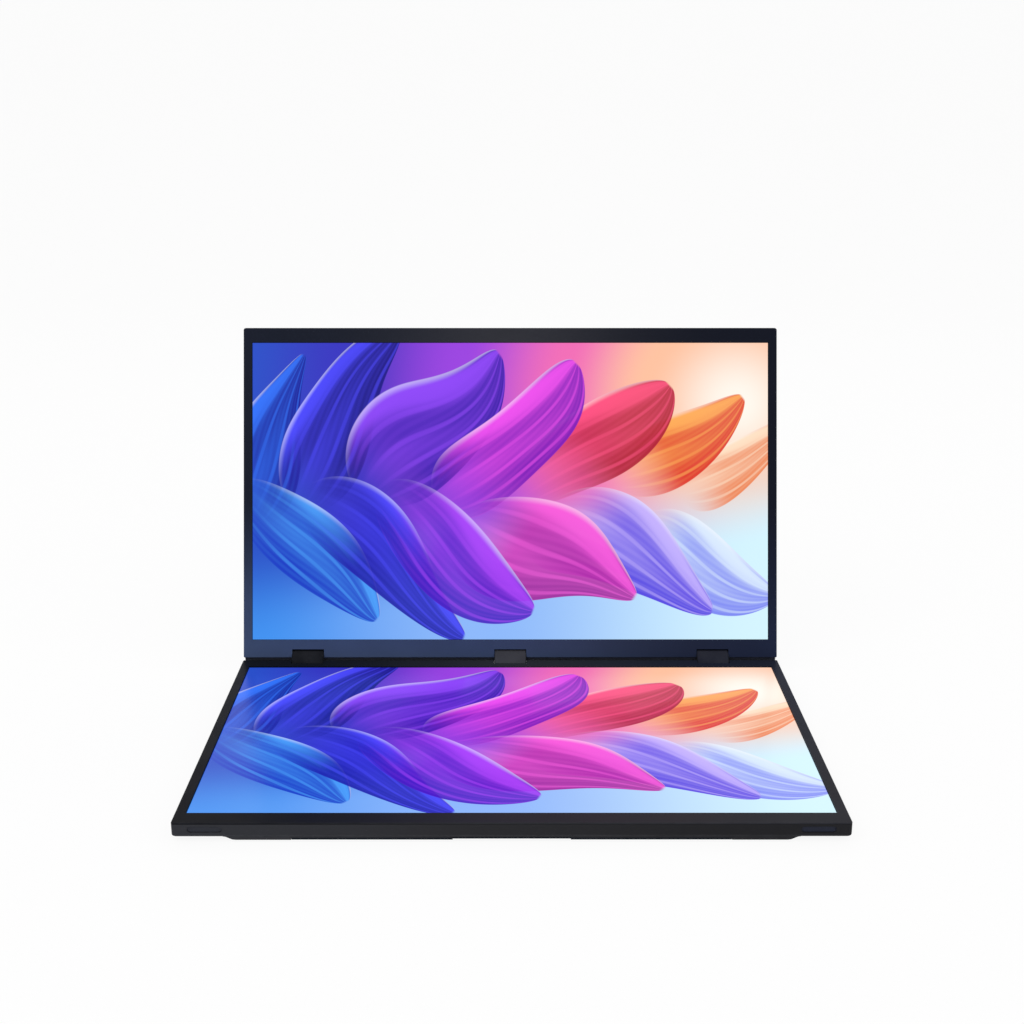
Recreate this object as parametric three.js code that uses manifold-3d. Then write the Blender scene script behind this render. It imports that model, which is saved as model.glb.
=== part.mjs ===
// Folding double screen: two equal flat screens joined edge to edge by three link hinges.
// The lower screen lies on the desk, the upper one stands up behind it and leans back.
// Units are millimetres, +Z is up, +X is the viewer's right and the viewer looks along +Y.
// Each screen is modelled in its own panel frame: X runs along the hinge, Y runs away from
// the hinge edge and Z points out of the display, with 0 at the bezel's front surface.

import * as THREE from 'three';
import { mergeVertices } from 'three/addons/utils/BufferGeometryUtils.js';
import Module from 'manifold-3d';

const wasm = await Module();
wasm.setup();

// Display and bezel
const ACTIVE_WIDTH = 344.2;
const ACTIVE_DEPTH = 198.1;
const SIDE_BEZEL = 5.85;
const FREE_BEZEL = 9.9;
const HINGE_BEZEL = 12.0;
const PANEL_WIDTH = ACTIVE_WIDTH + 2 * SIDE_BEZEL;
const PANEL_DEPTH = HINGE_BEZEL + ACTIVE_DEPTH + FREE_BEZEL;
const CORNER_RADIUS = 1.5;
const HINGE_CORNER = 0.8;
const UPPER_THICKNESS = 6.4;
const LOWER_THICKNESS = 8.3;
const EDGE_ROUND = 1.5;

// Pose in use
const OPEN_ANGLE = THREE.MathUtils.degToRad(106.7);
const EDGE_TO_FOLD = 1.2;

// Housing walls
const SIDE_WALL = 1.4;
const HINGE_WALL = 1.1;
const UPPER_FLOOR = 1.0;
const LOWER_FLOOR = 0.9;
const BEZEL_SHEET = 0.8;
const BEZEL_CHAMFER = 0.3;
const BEZEL_LIP = 0.8;
const BEZEL_LIP_DROP = 1.0;
const PART_LINE = 0.1;
const WINDOW_MARGIN = 0.25;
const RIB = 1.0;

// Clearances
const BOND = 0.15;
const FIT = 0.3;
const SLIP = 0.2;
const OVERRUN = 1.0;
const WELD = 0.0001;

// Display stack
const GLASS = 1.0;
const GLASS_BORDER = 2.4;
const DRIVER_BORDER = 3.2;
const LOWER_SHIFT = 1.3;
const GUIDE = 1.1;
const TRAY_SHEET = 0.4;
const LED_STRIP = 1.6;
const LAMP_COUNT = 20;
const DRIVER_BOARD_INSET = 67.1;
const DRIVER_BOARD_DEPTH = 9.0;
const BOARD_SHEET = 0.8;

// Link hinges
const HINGE_INSET = 42.95;
const LINK_WIDTH = 20.8;
const LINK_SIDE_GAP = 0.25;
const NOTCH_DEPTH = 5.5;
const PIN_RADIUS = 0.9;
const PIN_HOLE = 1.1;
const PIN_HEAD_RADIUS = 1.4;
const PIN_HEAD = 0.7;
const EAR_RADIUS = 1.6;
const EAR_SHEET = 1.5;
const BRACKET_SHEET = 0.8;
const BRACKET_DEPTH = 15.0;
const BRACKET_HOLE_RADIUS = 1.2;
const TRUNNION_RADIUS = 1.3;
const CABLE_SLOT_WIDTH = 14.0;
const CABLE_SLOT_HEIGHT = 1.4;
const RIBBON_WIDTH = 12.0;
const RIBBON = 0.3;
const LINK_CHAMFER = 0.4;
const UPPER_ROLL = 2.3;
const LOWER_ROLL = 1.2;
const TAB_REACH = 2.6;
const TAB_SHEET = 0.8;

// Raised pan under the lower screen
const PAN_DROP = 2.35;
const PAN_SIDE_STEP = 26.0;
const PAN_SLOPE = 6.0;
const PAN_FRONT_STEP = 0.8;
const PAN_HINGE_GAP = 12.0;
const PAN_CORNER = 12.0;
const PAN_FRONT_CORNER = 1.2;
const PAN_WALL = 1.2;

// Kickstand
const STAND_SIDE_STEP = 36.45;
const STAND_BOARD_GAP = 9.0;
const STAND_SHEET = 1.2;
const STAND_GAP = 0.4;
const STAND_SIDE_GAP = 0.15;
const STAND_FRONT_STEP = 1.6;
const STAND_RECESSED = 0.1;
const STAND_CORNER = 5.0;
const STAND_FREE_CORNER = 0.3;
const STAND_KNUCKLE_RADIUS = 1.3;
const STAND_KNUCKLE_WIDTH = 16.0;
const STAND_HINGE_INSET = 35.5;
const STAND_PIN_RADIUS = 0.6;
const STAND_PIN_HOLE = 0.8;
const STAND_EAR = 1.2;
const FINGER_WIDTH = 62.0;
const FINGER_RISE = 0.4;
const FINGER_DEPTH = 4.0;
const FINGER_NOTCH = 1.0;

// Speakers in the front corners
const SPEAKER_INSET = 17.45;
const SPEAKER_SLOT_WIDTH = 18.5;
const SPEAKER_SLOT_HEIGHT = 3.5;
const SPEAKER_DROP = 3.9;
const SPEAKER_DEPTH = 4.1;
const SPEAKER_HEIGHT = 4.6;
const SPEAKER_WIDTH = 24.0;
const SPEAKER_SURROUND = 0.9;

// Sockets on the left edge, counted from the hinge edge
const SOCKET_DROP = 5.5;
const SOCKET_HEIGHT = 3.1;
const SOCKET_RECESS = 0.4;
const USB_WIDTH = 8.9;
const USB_DEPTH = 7.3;
const USB_SHELL = 0.3;
const USB_TONGUE_WIDTH = 6.7;
const USB_TONGUE = 0.7;
const HDMI_WIDTH = 11.2;
const HDMI_DEPTH = 7.6;
const JACK_WIDTH = 6.2;
const JACK_DEPTH = 11.5;
const JACK_BORE = 1.35;
const JACK_PLACE = 47.0;
const JACK_TO_USB = 15.0;
const USB_PITCH = 16.0;
const USB_TO_HDMI = 17.0;

// Main board and what it carries
const BOARD_NEAR_END = 5.9;
const BOARD_FAR_END = 5.4;
const BOARD_LENGTH = 112.0;
const BOARD_EDGE = 2.6;
const BOSS_RADIUS = 2.4;
const BOSS_BORE = 0.9;
const BOSS_INSET = 5.0;
const SHIELD_WIDTH = 34.0;
const SHIELD_DEPTH = 28.0;
const SHIELD_HEIGHT = 0.9;
const SHIELD_SHEET = 0.2;

// Buttons on the right edge, counted from the free edge
const BUTTON_INSETS = [82.0, 68.0, 56.0];
const BUTTON_LENGTHS = [10.0, 8.0, 8.0];
const BUTTON_HEIGHT = 2.2;
const BUTTON_TRAVEL = 0.5;
const BUTTON_FLANGE = 0.6;
const BUTTON_FLANGE_MARGIN = 0.6;
const SWITCH_SIZE = 3.0;
const SWITCH_HEIGHT = 1.6;
const SWITCH_DEPTH = 0.6;
const BUTTON_BOARD_HEIGHT = 2.6;

// Rubber feet
const FOOT_PROUD = 0.8;
const FOOT_SEAT = 0.4;
const FOOT_WIDTH = 14.0;
const FOOT_LENGTH = 40.0;
const FOOT_SIDE_INSET = 22.95;
const FOOT_FRONT_INSET = 30.0;
const FOOT_REAR_INSET = 44.0;
const FOOT_EDGE = 0.3;

// Cooling slots in the pan
const VENT_COUNT = 14;
const VENT_WIDTH = 1.8;
const VENT_LENGTH = 22.0;
const VENT_INNER_STEP = 0.65;
const VENT_OUTER_STEP = 16.95;

// Floor ribs of the lower housing: some inboard, the others between two cooling slots
const RIB_SHARES = [0.14, 0.38];
const RIB_SLOTS = [4, 9];

// Fineness of the round parts
const CORNER_STEPS = 4;
const ROUND_STEPS = 3;
const SLOPE_STEPS = 5;
const ROD_SIDES = 12;
const CURVE_STEPS = 4;
const SMALL_CORNER_STEPS = 2;

// Places worked out from the sizes above
const FOLD_BACK = Math.PI - OPEN_ANGLE;
const HALF_WIDTH = PANEL_WIDTH / 2;
const HINGE_OFFSET = HALF_WIDTH - HINGE_INSET;
const NOTCH_WIDTH = LINK_WIDTH + 2 * LINK_SIDE_GAP;
const PIN_DROP = BEZEL_SHEET + FIT + EAR_RADIUS;
const PIN_INSET = HINGE_WALL + FIT + EAR_RADIUS;
const PIN_REACH = (EDGE_TO_FOLD + PIN_INSET) * Math.sin(OPEN_ANGLE / 2)
  + PIN_DROP * Math.cos(OPEN_ANGLE / 2);
const PIN_SPAN = 2 * PIN_REACH;
const LINK_RADIUS = NOTCH_DEPTH - PIN_INSET - FIT;
const NOTCH_BOTTOM = -PIN_DROP - LINK_RADIUS - FIT;
const EAR_NEAR = NOTCH_WIDTH / 2 + HINGE_WALL + FIT;
const EAR_FAR = EAR_NEAR + EAR_SHEET;
const HINGE_PLACES = [-HINGE_OFFSET, 0, HINGE_OFFSET];
const GLASS_TOP = -BEZEL_SHEET - BOND;
const GUIDE_TOP = GLASS_TOP - GLASS - BOND;
const TRAY_TOP = GUIDE_TOP - GUIDE - BOND;
const TRAY_BOTTOM = TRAY_TOP - TRAY_SHEET;
const GLASS_NEAR = HINGE_BEZEL - DRIVER_BORDER;
const GLASS_FAR = PANEL_DEPTH - FREE_BEZEL + GLASS_BORDER;
const GLASS_HALF = ACTIVE_WIDTH / 2 + GLASS_BORDER;
const TRAY_GROWTH = BOND + TRAY_SHEET;
const COVER_TOP = -BEZEL_SHEET - PART_LINE;
const LOWER_INNER = -LOWER_THICKNESS + LOWER_FLOOR;
const UPPER_INNER = -UPPER_THICKNESS + UPPER_FLOOR;
const PAN_BOTTOM = -LOWER_THICKNESS - PAN_DROP;
const PAN_INNER = PAN_BOTTOM + LOWER_FLOOR;
const PAN_WIDTH = PANEL_WIDTH - 2 * PAN_SIDE_STEP;
const PAN_FLAT_HALF = PAN_WIDTH / 2 - PAN_SLOPE;
const USB_PLACES = [JACK_PLACE + JACK_TO_USB, JACK_PLACE + JACK_TO_USB + USB_PITCH];
const HDMI_PLACE = USB_PLACES[1] + USB_TO_HDMI;
const BOARD_NEAR = JACK_PLACE - JACK_WIDTH / 2 - BOARD_NEAR_END;
const BOARD_FAR = HDMI_PLACE + HDMI_WIDTH / 2 + BOARD_FAR_END;
const STAND_WIDTH = PAN_WIDTH - 2 * STAND_SIDE_STEP;
const STAND_FRONT = PANEL_DEPTH - STAND_FRONT_STEP;
const STAND_PIVOT = BOARD_FAR + STAND_BOARD_GAP;
const STAND_BOTTOM = PAN_BOTTOM + STAND_RECESSED;
const STAND_TOP = STAND_BOTTOM + STAND_SHEET;
const STAND_PIN_Z = STAND_BOTTOM + STAND_KNUCKLE_RADIUS;
const STAND_ROOF = STAND_PIN_Z + STAND_KNUCKLE_RADIUS + FIT + BRACKET_SHEET + SLIP;
const STAND_REAR = STAND_PIVOT - STAND_KNUCKLE_RADIUS - STAND_GAP;
const STAND_HINGE_OFFSET = STAND_WIDTH / 2 - STAND_HINGE_INSET;
const STAND_PLACES = [-STAND_HINGE_OFFSET, STAND_HINGE_OFFSET];
const STAND_POCKET_HALF = STAND_KNUCKLE_WIDTH / 2 + FIT + STAND_EAR + FIT;
const BOARD_TOP = -SOCKET_DROP + BOARD_SHEET / 2;
const BOARD_BOTTOM = BOARD_TOP - BOARD_SHEET;
const BOARD_OUTER = HALF_WIDTH - BOARD_EDGE;
const BOARD_INNER = BOARD_OUTER - BOARD_LENGTH;
const SOCKET_FACE = HALF_WIDTH - SOCKET_RECESS;
const SPEAKER_OFFSET = HALF_WIDTH - SPEAKER_INSET;
const FOOT_OFFSET = PAN_WIDTH / 2 - FOOT_SIDE_INSET;
const BUTTON_PLACES = BUTTON_INSETS.map((inset) => PANEL_DEPTH - inset);
const BUTTON_FACE = -HALF_WIDTH;
const BUTTON_INNER = BUTTON_FACE + SIDE_WALL + SLIP;
const BUTTON_BACK = BUTTON_INNER + BUTTON_FLANGE;
const SWITCH_FACE = BUTTON_BACK + BUTTON_TRAVEL + BOND;
const BUTTON_BOARD_X = SWITCH_FACE + SWITCH_DEPTH;

// Turn a closed geometry into a solid that can be joined and cut
function solidOf(geometry) {
  const bare = geometry.clone();
  bare.deleteAttribute('normal');
  bare.deleteAttribute('uv');
  const welded = mergeVertices(bare, WELD);
  const vertProperties = Float32Array.from(welded.attributes.position.array);
  const triVerts = Uint32Array.from(welded.index.array);
  return new wasm.Manifold(new wasm.Mesh({ numProp: 3, vertProperties, triVerts }));
}

// Turn a solid back into a geometry for a mesh
function geometryOf(solid) {
  const mesh = solid.getMesh();
  const geometry = new THREE.BufferGeometry();
  geometry.setAttribute('position', new THREE.BufferAttribute(mesh.vertProperties, mesh.numProp));
  geometry.setIndex(new THREE.BufferAttribute(mesh.triVerts, 1));
  geometry.computeVertexNormals();
  return geometry;
}

function joined(solids) {
  return solids.reduce((whole, solid) => whole.add(solid));
}

function cutBy(solid, tools) {
  return tools.reduce((left, tool) => left.subtract(tool), solid);
}

// Box between two corners
function block(x0, x1, y0, y1, z0, z1) {
  const geometry = new THREE.BoxGeometry(x1 - x0, y1 - y0, z1 - z0);
  geometry.translate((x0 + x1) / 2, (y0 + y1) / 2, (z0 + z1) / 2);
  return solidOf(geometry);
}

// Round bar along X
function rodX(radius, x0, x1, y, z) {
  const geometry = new THREE.CylinderGeometry(radius, radius, x1 - x0, ROD_SIDES);
  geometry.rotateZ(-Math.PI / 2);
  geometry.translate((x0 + x1) / 2, y, z);
  return solidOf(geometry);
}

// Round bar along Z
function rodZ(radius, x, y, z0, z1) {
  const geometry = new THREE.CylinderGeometry(radius, radius, z1 - z0, ROD_SIDES);
  geometry.rotateX(Math.PI / 2);
  geometry.translate(x, y, (z0 + z1) / 2);
  return solidOf(geometry);
}

// Outline of a rectangle with round corners, counter-clockwise; the two at low Y may differ
function roundRing(x0, x1, y0, y1, farRadius, steps = CORNER_STEPS, nearRadius = farRadius) {
  const centres = [
    [x1 - nearRadius, y0 + nearRadius, nearRadius],
    [x1 - farRadius, y1 - farRadius, farRadius],
    [x0 + farRadius, y1 - farRadius, farRadius],
    [x0 + nearRadius, y0 + nearRadius, nearRadius],
  ];
  const ring = [];
  centres.forEach(([x, y, radius], corner) => {
    for (let step = 0; step <= steps; step += 1) {
      const angle = ((corner - 1) + step / steps) * Math.PI / 2;
      ring.push(new THREE.Vector2(x + radius * Math.cos(angle), y + radius * Math.sin(angle)));
    }
  });
  return ring;
}

// Closed solid through a stack of rings with equal point counts, from low to high
function loft(sections) {
  const count = sections[0].ring.length;
  const positions = sections.flatMap(({ ring, z }) => ring.flatMap((point) => [point.x, point.y, z]));
  const faces = [];
  for (let level = 0; level < sections.length - 1; level += 1) {
    for (let index = 0; index < count; index += 1) {
      const a = level * count + index;
      const b = level * count + (index + 1) % count;
      faces.push(a, b, b + count, a, b + count, a + count);
    }
  }
  const top = (sections.length - 1) * count;
  THREE.ShapeUtils.triangulateShape(sections[0].ring, []).forEach(([a, b, c]) => {
    faces.push(a, c, b);
  });
  THREE.ShapeUtils.triangulateShape(sections[sections.length - 1].ring, []).forEach(([a, b, c]) => {
    faces.push(top + a, top + b, top + c);
  });
  const geometry = new THREE.BufferGeometry();
  geometry.setAttribute('position', new THREE.Float32BufferAttribute(positions, 3));
  geometry.setIndex(faces);
  return solidOf(geometry);
}

// Plate with round corners
function plate(x0, x1, y0, y1, z0, z1, farRadius, steps = CORNER_STEPS, nearRadius = farRadius) {
  const ring = roundRing(x0, x1, y0, y1, farRadius, steps, nearRadius);
  return loft([{ ring, z: z0 }, { ring, z: z1 }]);
}

// Shape extruded along X: the shape's own x and y become Y and Z
function alongX(shape, x0, x1, chamfer = 0) {
  const geometry = new THREE.ExtrudeGeometry(shape, {
    depth: x1 - x0 - 2 * chamfer,
    curveSegments: CURVE_STEPS,
    bevelEnabled: chamfer > 0,
    bevelThickness: chamfer,
    bevelSize: chamfer,
    bevelOffset: -chamfer,
    bevelSegments: 1,
  });
  const turn = new THREE.Matrix4().makeBasis(
    new THREE.Vector3(0, 1, 0),
    new THREE.Vector3(0, 0, 1),
    new THREE.Vector3(1, 0, 0),
  );
  geometry.applyMatrix4(turn);
  geometry.translate(x0 + chamfer, 0, 0);
  return solidOf(geometry);
}

// Shape extruded along Y, from the high end down: the shape's own x and y become X and Z
function alongY(shape, y0, y1) {
  const geometry = new THREE.ExtrudeGeometry(shape, {
    depth: y1 - y0,
    curveSegments: CURVE_STEPS,
    bevelEnabled: false,
  });
  geometry.rotateX(Math.PI / 2);
  geometry.translate(0, y1, 0);
  return solidOf(geometry);
}

// Flat-sided outline with half-round ends, centred on a point, longer way along the first axis
function stadium(centreA, centreB, length, height) {
  const radius = height / 2;
  const run = length / 2 - radius;
  const shape = new THREE.Shape();
  shape.absarc(centreA + run, centreB, radius, -Math.PI / 2, Math.PI / 2, false);
  shape.absarc(centreA - run, centreB, radius, Math.PI / 2, Math.PI * 3 / 2, false);
  return shape;
}

function finish(color, roughness, metalness) {
  return new THREE.MeshStandardMaterial({ color, roughness, metalness });
}

const FINISHES = {
  bezel: finish(0x1c202c, 0.28, 0.0),
  housing: finish(0x2c2c2f, 0.5, 0.0),
  link: finish(0x38393e, 0.45, 0.3),
  display: finish(0x10131c, 0.12, 0.0),
  acrylic: finish(0xdfe6ee, 0.2, 0.0),
  sheet: finish(0x9a9da3, 0.4, 1.0),
  steel: finish(0x8d9096, 0.3, 1.0),
  board: finish(0x12352a, 0.6, 0.0),
  speaker: finish(0x1b1b1e, 0.7, 0.0),
  stand: finish(0x2a2a2d, 0.4, 0.6),
  rubber: finish(0x17171a, 0.9, 0.0),
  button: finish(0x242427, 0.35, 0.0),
  ribbon: finish(0xa8682a, 0.5, 0.0),
};

function part(name, solid, material) {
  const mesh = new THREE.Mesh(geometryOf(solid), material);
  mesh.name = name;
  return mesh;
}

// Boxes that open the hinge edge for the three links and leave the back closed
function notchTools() {
  return HINGE_PLACES.map((x) => block(
    x - NOTCH_WIDTH / 2, x + NOTCH_WIDTH / 2,
    -UPPER_ROLL - LOWER_ROLL, NOTCH_DEPTH,
    NOTCH_BOTTOM, OVERRUN,
  ));
}

// Walls inside the housing around each notch
function notchWalls(inner) {
  return HINGE_PLACES.map((x) => block(
    x - NOTCH_WIDTH / 2 - HINGE_WALL, x + NOTCH_WIDTH / 2 + HINGE_WALL,
    HINGE_WALL / 2, NOTCH_DEPTH + HINGE_WALL,
    inner - UPPER_FLOOR / 2, COVER_TOP,
  ));
}

// Holes for the hinge pins through the walls beside each notch
function pinHoles() {
  return HINGE_PLACES.map((x) => {
    const radius = (x === 0 ? TRUNNION_RADIUS : PIN_RADIUS) + SLIP;
    const reach = NOTCH_WIDTH / 2 + HINGE_WALL + OVERRUN;
    return rodX(radius, x - reach, x + reach, PIN_INSET, -PIN_DROP);
  });
}

// Flat window for the ribbon through the wall behind the middle notch
function ribbonWindow(z) {
  const half = RIBBON_WIDTH / 2 + FIT;
  return block(
    -half, half, NOTCH_DEPTH - OVERRUN, NOTCH_DEPTH + HINGE_WALL + OVERRUN,
    z - FIT, z + RIBBON + FIT,
  );
}

// Outline of a screen seen from above, with tighter corners at the hinge edge
function screenRing(inset) {
  return roundRing(
    -HALF_WIDTH + inset, HALF_WIDTH - inset, inset, PANEL_DEPTH - inset,
    CORNER_RADIUS, CORNER_STEPS, HINGE_CORNER,
  );
}

// Half-round roll along the hinge edge that fills the gap between the two housings
function hingeRoll(reach) {
  const shape = new THREE.Shape();
  shape.absellipse(0, -PIN_DROP, reach, EAR_RADIUS, Math.PI / 2, Math.PI * 3 / 2, false);
  shape.lineTo(HINGE_WALL / 2, -PIN_DROP - EAR_RADIUS);
  shape.lineTo(HINGE_WALL / 2, -PIN_DROP + EAR_RADIUS);
  return alongX(shape, -HALF_WIDTH + HINGE_CORNER, HALF_WIDTH - HINGE_CORNER, BEZEL_CHAMFER);
}

// Tabs that stand out behind the links and hide the gaps at their sides
function hingeTabs() {
  const half = NOTCH_WIDTH / 2 + HINGE_WALL;
  return HINGE_PLACES.map((x) => block(
    x - half, x + half, -TAB_REACH, NOTCH_DEPTH / 2, NOTCH_BOTTOM - TAB_SHEET, NOTCH_BOTTOM,
  ));
}

// Tray-shaped shell with a rounded outer edge and a roll along the hinge edge
function coverShell(thickness, inner, rollReach) {
  const sections = [];
  for (let step = ROUND_STEPS; step >= 0; step -= 1) {
    const angle = (step / ROUND_STEPS) * Math.PI / 2;
    sections.push({
      ring: screenRing(EDGE_ROUND * (1 - Math.cos(angle))),
      z: -thickness + EDGE_ROUND * (1 - Math.sin(angle)),
    });
  }
  sections.push({ ring: screenRing(0), z: COVER_TOP });
  const hollow = plate(
    -HALF_WIDTH + SIDE_WALL, HALF_WIDTH - SIDE_WALL,
    HINGE_WALL, PANEL_DEPTH - SIDE_WALL,
    inner, OVERRUN, CORNER_RADIUS - SIDE_WALL / 2,
  );
  return loft(sections).subtract(hollow).add(hingeRoll(rollReach));
}

// Ribs on the floor, each a thin wall along Y
function floorRibs(places, y0, y1, z0, z1) {
  return places.map((x) => block(x - RIB / 2, x + RIB / 2, y0, y1, z0, z1));
}

// Bezel: thin sheet with the display window, the hinge notches and a locating lip
function frontFrame(name, shift) {
  const sheet = loft([
    { ring: screenRing(0), z: -BEZEL_SHEET },
    { ring: screenRing(0), z: -BEZEL_CHAMFER },
    { ring: screenRing(BEZEL_CHAMFER), z: 0 },
  ]);
  const lipOuter = SIDE_WALL + SLIP;
  const lipInner = lipOuter + BEZEL_LIP;
  const hingeLip = NOTCH_DEPTH + HINGE_WALL + FIT;
  const lipBottom = -BEZEL_SHEET - BEZEL_LIP_DROP;
  const lip = cutBy(
    plate(-HALF_WIDTH + lipOuter, HALF_WIDTH - lipOuter, hingeLip, PANEL_DEPTH - lipOuter,
      lipBottom, -BEZEL_CHAMFER, CORNER_RADIUS / 2),
    [
      block(-HALF_WIDTH + lipInner, HALF_WIDTH - lipInner, -OVERRUN, PANEL_DEPTH - lipInner,
        lipBottom - OVERRUN, OVERRUN),
      ...[-1, 1].map((side) => block(
        side * SPEAKER_OFFSET - SPEAKER_WIDTH / 2 - FIT, side * SPEAKER_OFFSET + SPEAKER_WIDTH / 2 + FIT,
        PANEL_DEPTH - lipOuter - SPEAKER_DEPTH, PANEL_DEPTH, lipBottom - OVERRUN, -BEZEL_SHEET,
      )),
    ],
  );
  const window = block(
    -ACTIVE_WIDTH / 2 - WINDOW_MARGIN, ACTIVE_WIDTH / 2 + WINDOW_MARGIN,
    HINGE_BEZEL - shift - WINDOW_MARGIN, HINGE_BEZEL - shift + ACTIVE_DEPTH + WINDOW_MARGIN,
    -BEZEL_SHEET - OVERRUN, OVERRUN,
  );
  const solid = cutBy(sheet.add(lip), [window, ...notchTools()]);
  return part(name, solid, FINISHES.bezel);
}

// Glass cell of the display with its wider driver border at the hinge side
function lcdPanel(name, shift) {
  const solid = plate(
    -GLASS_HALF, GLASS_HALF, GLASS_NEAR - shift, GLASS_FAR - shift,
    GLASS_TOP - GLASS, GLASS_TOP, BEZEL_CHAMFER, SMALL_CORNER_STEPS,
  );
  return part(name, solid, FINISHES.display);
}

// Light guide plate behind the glass, cut back for the row of lamps
function lightGuide(name, shift) {
  const solid = plate(
    -GLASS_HALF, GLASS_HALF, GLASS_NEAR - shift + LED_STRIP + SLIP, GLASS_FAR - shift,
    GUIDE_TOP - GUIDE, GUIDE_TOP, BEZEL_CHAMFER, SMALL_CORNER_STEPS,
  );
  return part(name, solid, FINISHES.acrylic);
}

// Row of lamps on a narrow strip along the edge of the light guide
function ledStrip(name, shift) {
  const half = ACTIVE_WIDTH / 2;
  const near = GLASS_NEAR - shift;
  const strip = block(-half, half, near, near + LED_STRIP / 2, GUIDE_TOP - GUIDE, GUIDE_TOP);
  const pitch = ACTIVE_WIDTH / LAMP_COUNT;
  const lamps = Array.from({ length: LAMP_COUNT }, (unused, index) => {
    const x = -half + (index + 1 / 2) * pitch;
    return block(
      x - pitch / 4, x + pitch / 4,
      near + LED_STRIP / 4, near + LED_STRIP,
      GUIDE_TOP - GUIDE + BOND, GUIDE_TOP - BOND,
    );
  });
  return part(name, joined([strip, ...lamps]), FINISHES.acrylic);
}

// Pressed steel tray that holds glass, light guide and lamps together
function backlightTray(name, shift) {
  const near = GLASS_NEAR - shift;
  const far = GLASS_FAR - shift;
  const outer = plate(
    -GLASS_HALF - TRAY_GROWTH, GLASS_HALF + TRAY_GROWTH, near - TRAY_GROWTH, far + TRAY_GROWTH,
    TRAY_BOTTOM, GLASS_TOP - GLASS / 2, BEZEL_CHAMFER,
  );
  const inside = plate(
    -GLASS_HALF - BOND, GLASS_HALF + BOND, near - BOND, far + BOND,
    TRAY_TOP, OVERRUN, BEZEL_CHAMFER,
  );
  return part(name, outer.subtract(inside), FINISHES.sheet);
}

// Long narrow board that feeds the display, fixed under the tray with its chips below
function driverBoard(name, shift) {
  const top = TRAY_BOTTOM - SLIP;
  const near = GLASS_NEAR - shift;
  const half = ACTIVE_WIDTH / 2 - DRIVER_BOARD_INSET;
  const board = plate(
    -half, half, near, near + DRIVER_BOARD_DEPTH, top - BOARD_SHEET / 2, top, BEZEL_CHAMFER,
  );
  const chipShares = [-0.78, -0.4, 0.1, 0.46, 0.8];
  const chips = chipShares.map((share) => block(
    share * half - DRIVER_BOARD_DEPTH / 2, share * half + DRIVER_BOARD_DEPTH / 2,
    near + DRIVER_BOARD_DEPTH / 4, near + DRIVER_BOARD_DEPTH * 3 / 4,
    top - BOARD_SHEET, top - BOARD_SHEET / 4,
  ));
  return part(name, joined([board, ...chips]), FINISHES.board);
}

// Steel bracket on the housing floor: two arms beside the notch end in upright pin ears
function hingeBracket(name, x, inner) {
  const floor = inner + PART_LINE;
  const backStart = NOTCH_DEPTH + HINGE_WALL + FIT;
  const foot = plate(
    x - EAR_FAR, x + EAR_FAR, backStart, backStart + BRACKET_DEPTH,
    floor, floor + BRACKET_SHEET, CORNER_RADIUS / 2,
  );
  const ears = [-1, 1].map((side) => {
    const start = side > 0 ? x + EAR_NEAR : x - EAR_FAR;
    const outline = new THREE.Shape();
    outline.moveTo(backStart + BRACKET_DEPTH / 2, floor);
    outline.lineTo(backStart + BRACKET_DEPTH / 2, floor + BRACKET_SHEET);
    outline.lineTo(PIN_INSET + EAR_RADIUS, floor + BRACKET_SHEET);
    outline.absarc(PIN_INSET, -PIN_DROP, EAR_RADIUS, 0, Math.PI, false);
    outline.lineTo(PIN_INSET - EAR_RADIUS, floor);
    return alongX(outline, start, start + EAR_SHEET);
  });
  const holeReach = EAR_FAR + OVERRUN;
  const pinHole = rodX(PIN_HOLE, x - holeReach, x + holeReach, PIN_INSET, -PIN_DROP);
  const screwHoles = [-1, 1].map((side) => rodZ(
    BRACKET_HOLE_RADIUS,
    x + side * EAR_NEAR / 2, backStart + BRACKET_DEPTH / 2,
    floor - OVERRUN, floor + BRACKET_SHEET + OVERRUN,
  ));
  return part(name, cutBy(joined([foot, ...ears]), [pinHole, ...screwHoles]), FINISHES.steel);
}

function ribbonHeight() {
  return TRAY_BOTTOM - RIBBON - SLIP;
}

// Flat cable from the middle notch to the driver board
function panelRibbon(name, shift) {
  const z = ribbonHeight();
  const half = RIBBON_WIDTH / 2;
  const end = GLASS_NEAR - shift;
  const flat = block(-half, half, NOTCH_DEPTH, end, z, z + RIBBON);
  const drop = block(
    -half, half, end - RIBBON, end, TRAY_BOTTOM - BOARD_SHEET - RIBBON * 2, z + RIBBON,
  );
  return part(name, flat.add(drop), FINISHES.ribbon);
}

// Upper housing: a shallow tray with floor ribs and screw bosses under the display
function upperRearCover() {
  const ribTop = TRAY_BOTTOM - FIT;
  const ribFoot = UPPER_INNER - UPPER_FLOOR / 2;
  const ribStart = HINGE_BEZEL + DRIVER_BOARD_DEPTH * 2;
  const ribShares = [-0.84, -0.56, -0.28, 0, 0.28, 0.56, 0.84];
  const ribs = floorRibs(
    ribShares.map((share) => share * HALF_WIDTH),
    ribStart, PANEL_DEPTH - SIDE_WALL / 2, ribFoot, ribTop,
  );
  const crossShares = [0.35, 0.65];
  const crossRibs = crossShares.map((share) => block(
    -HALF_WIDTH + SIDE_WALL / 2, HALF_WIDTH - SIDE_WALL / 2,
    share * PANEL_DEPTH - RIB / 2, share * PANEL_DEPTH + RIB / 2,
    ribFoot, ribTop,
  ));
  const shell = joined([
    coverShell(UPPER_THICKNESS, UPPER_INNER, UPPER_ROLL),
    ...hingeTabs(), ...notchWalls(UPPER_INNER), ...ribs, ...crossRibs,
  ]);
  const solid = cutBy(shell, [...notchTools(), ...pinHoles(), ribbonWindow(ribbonHeight())]);
  return part('upper_rear_cover', solid, FINISHES.housing);
}

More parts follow.
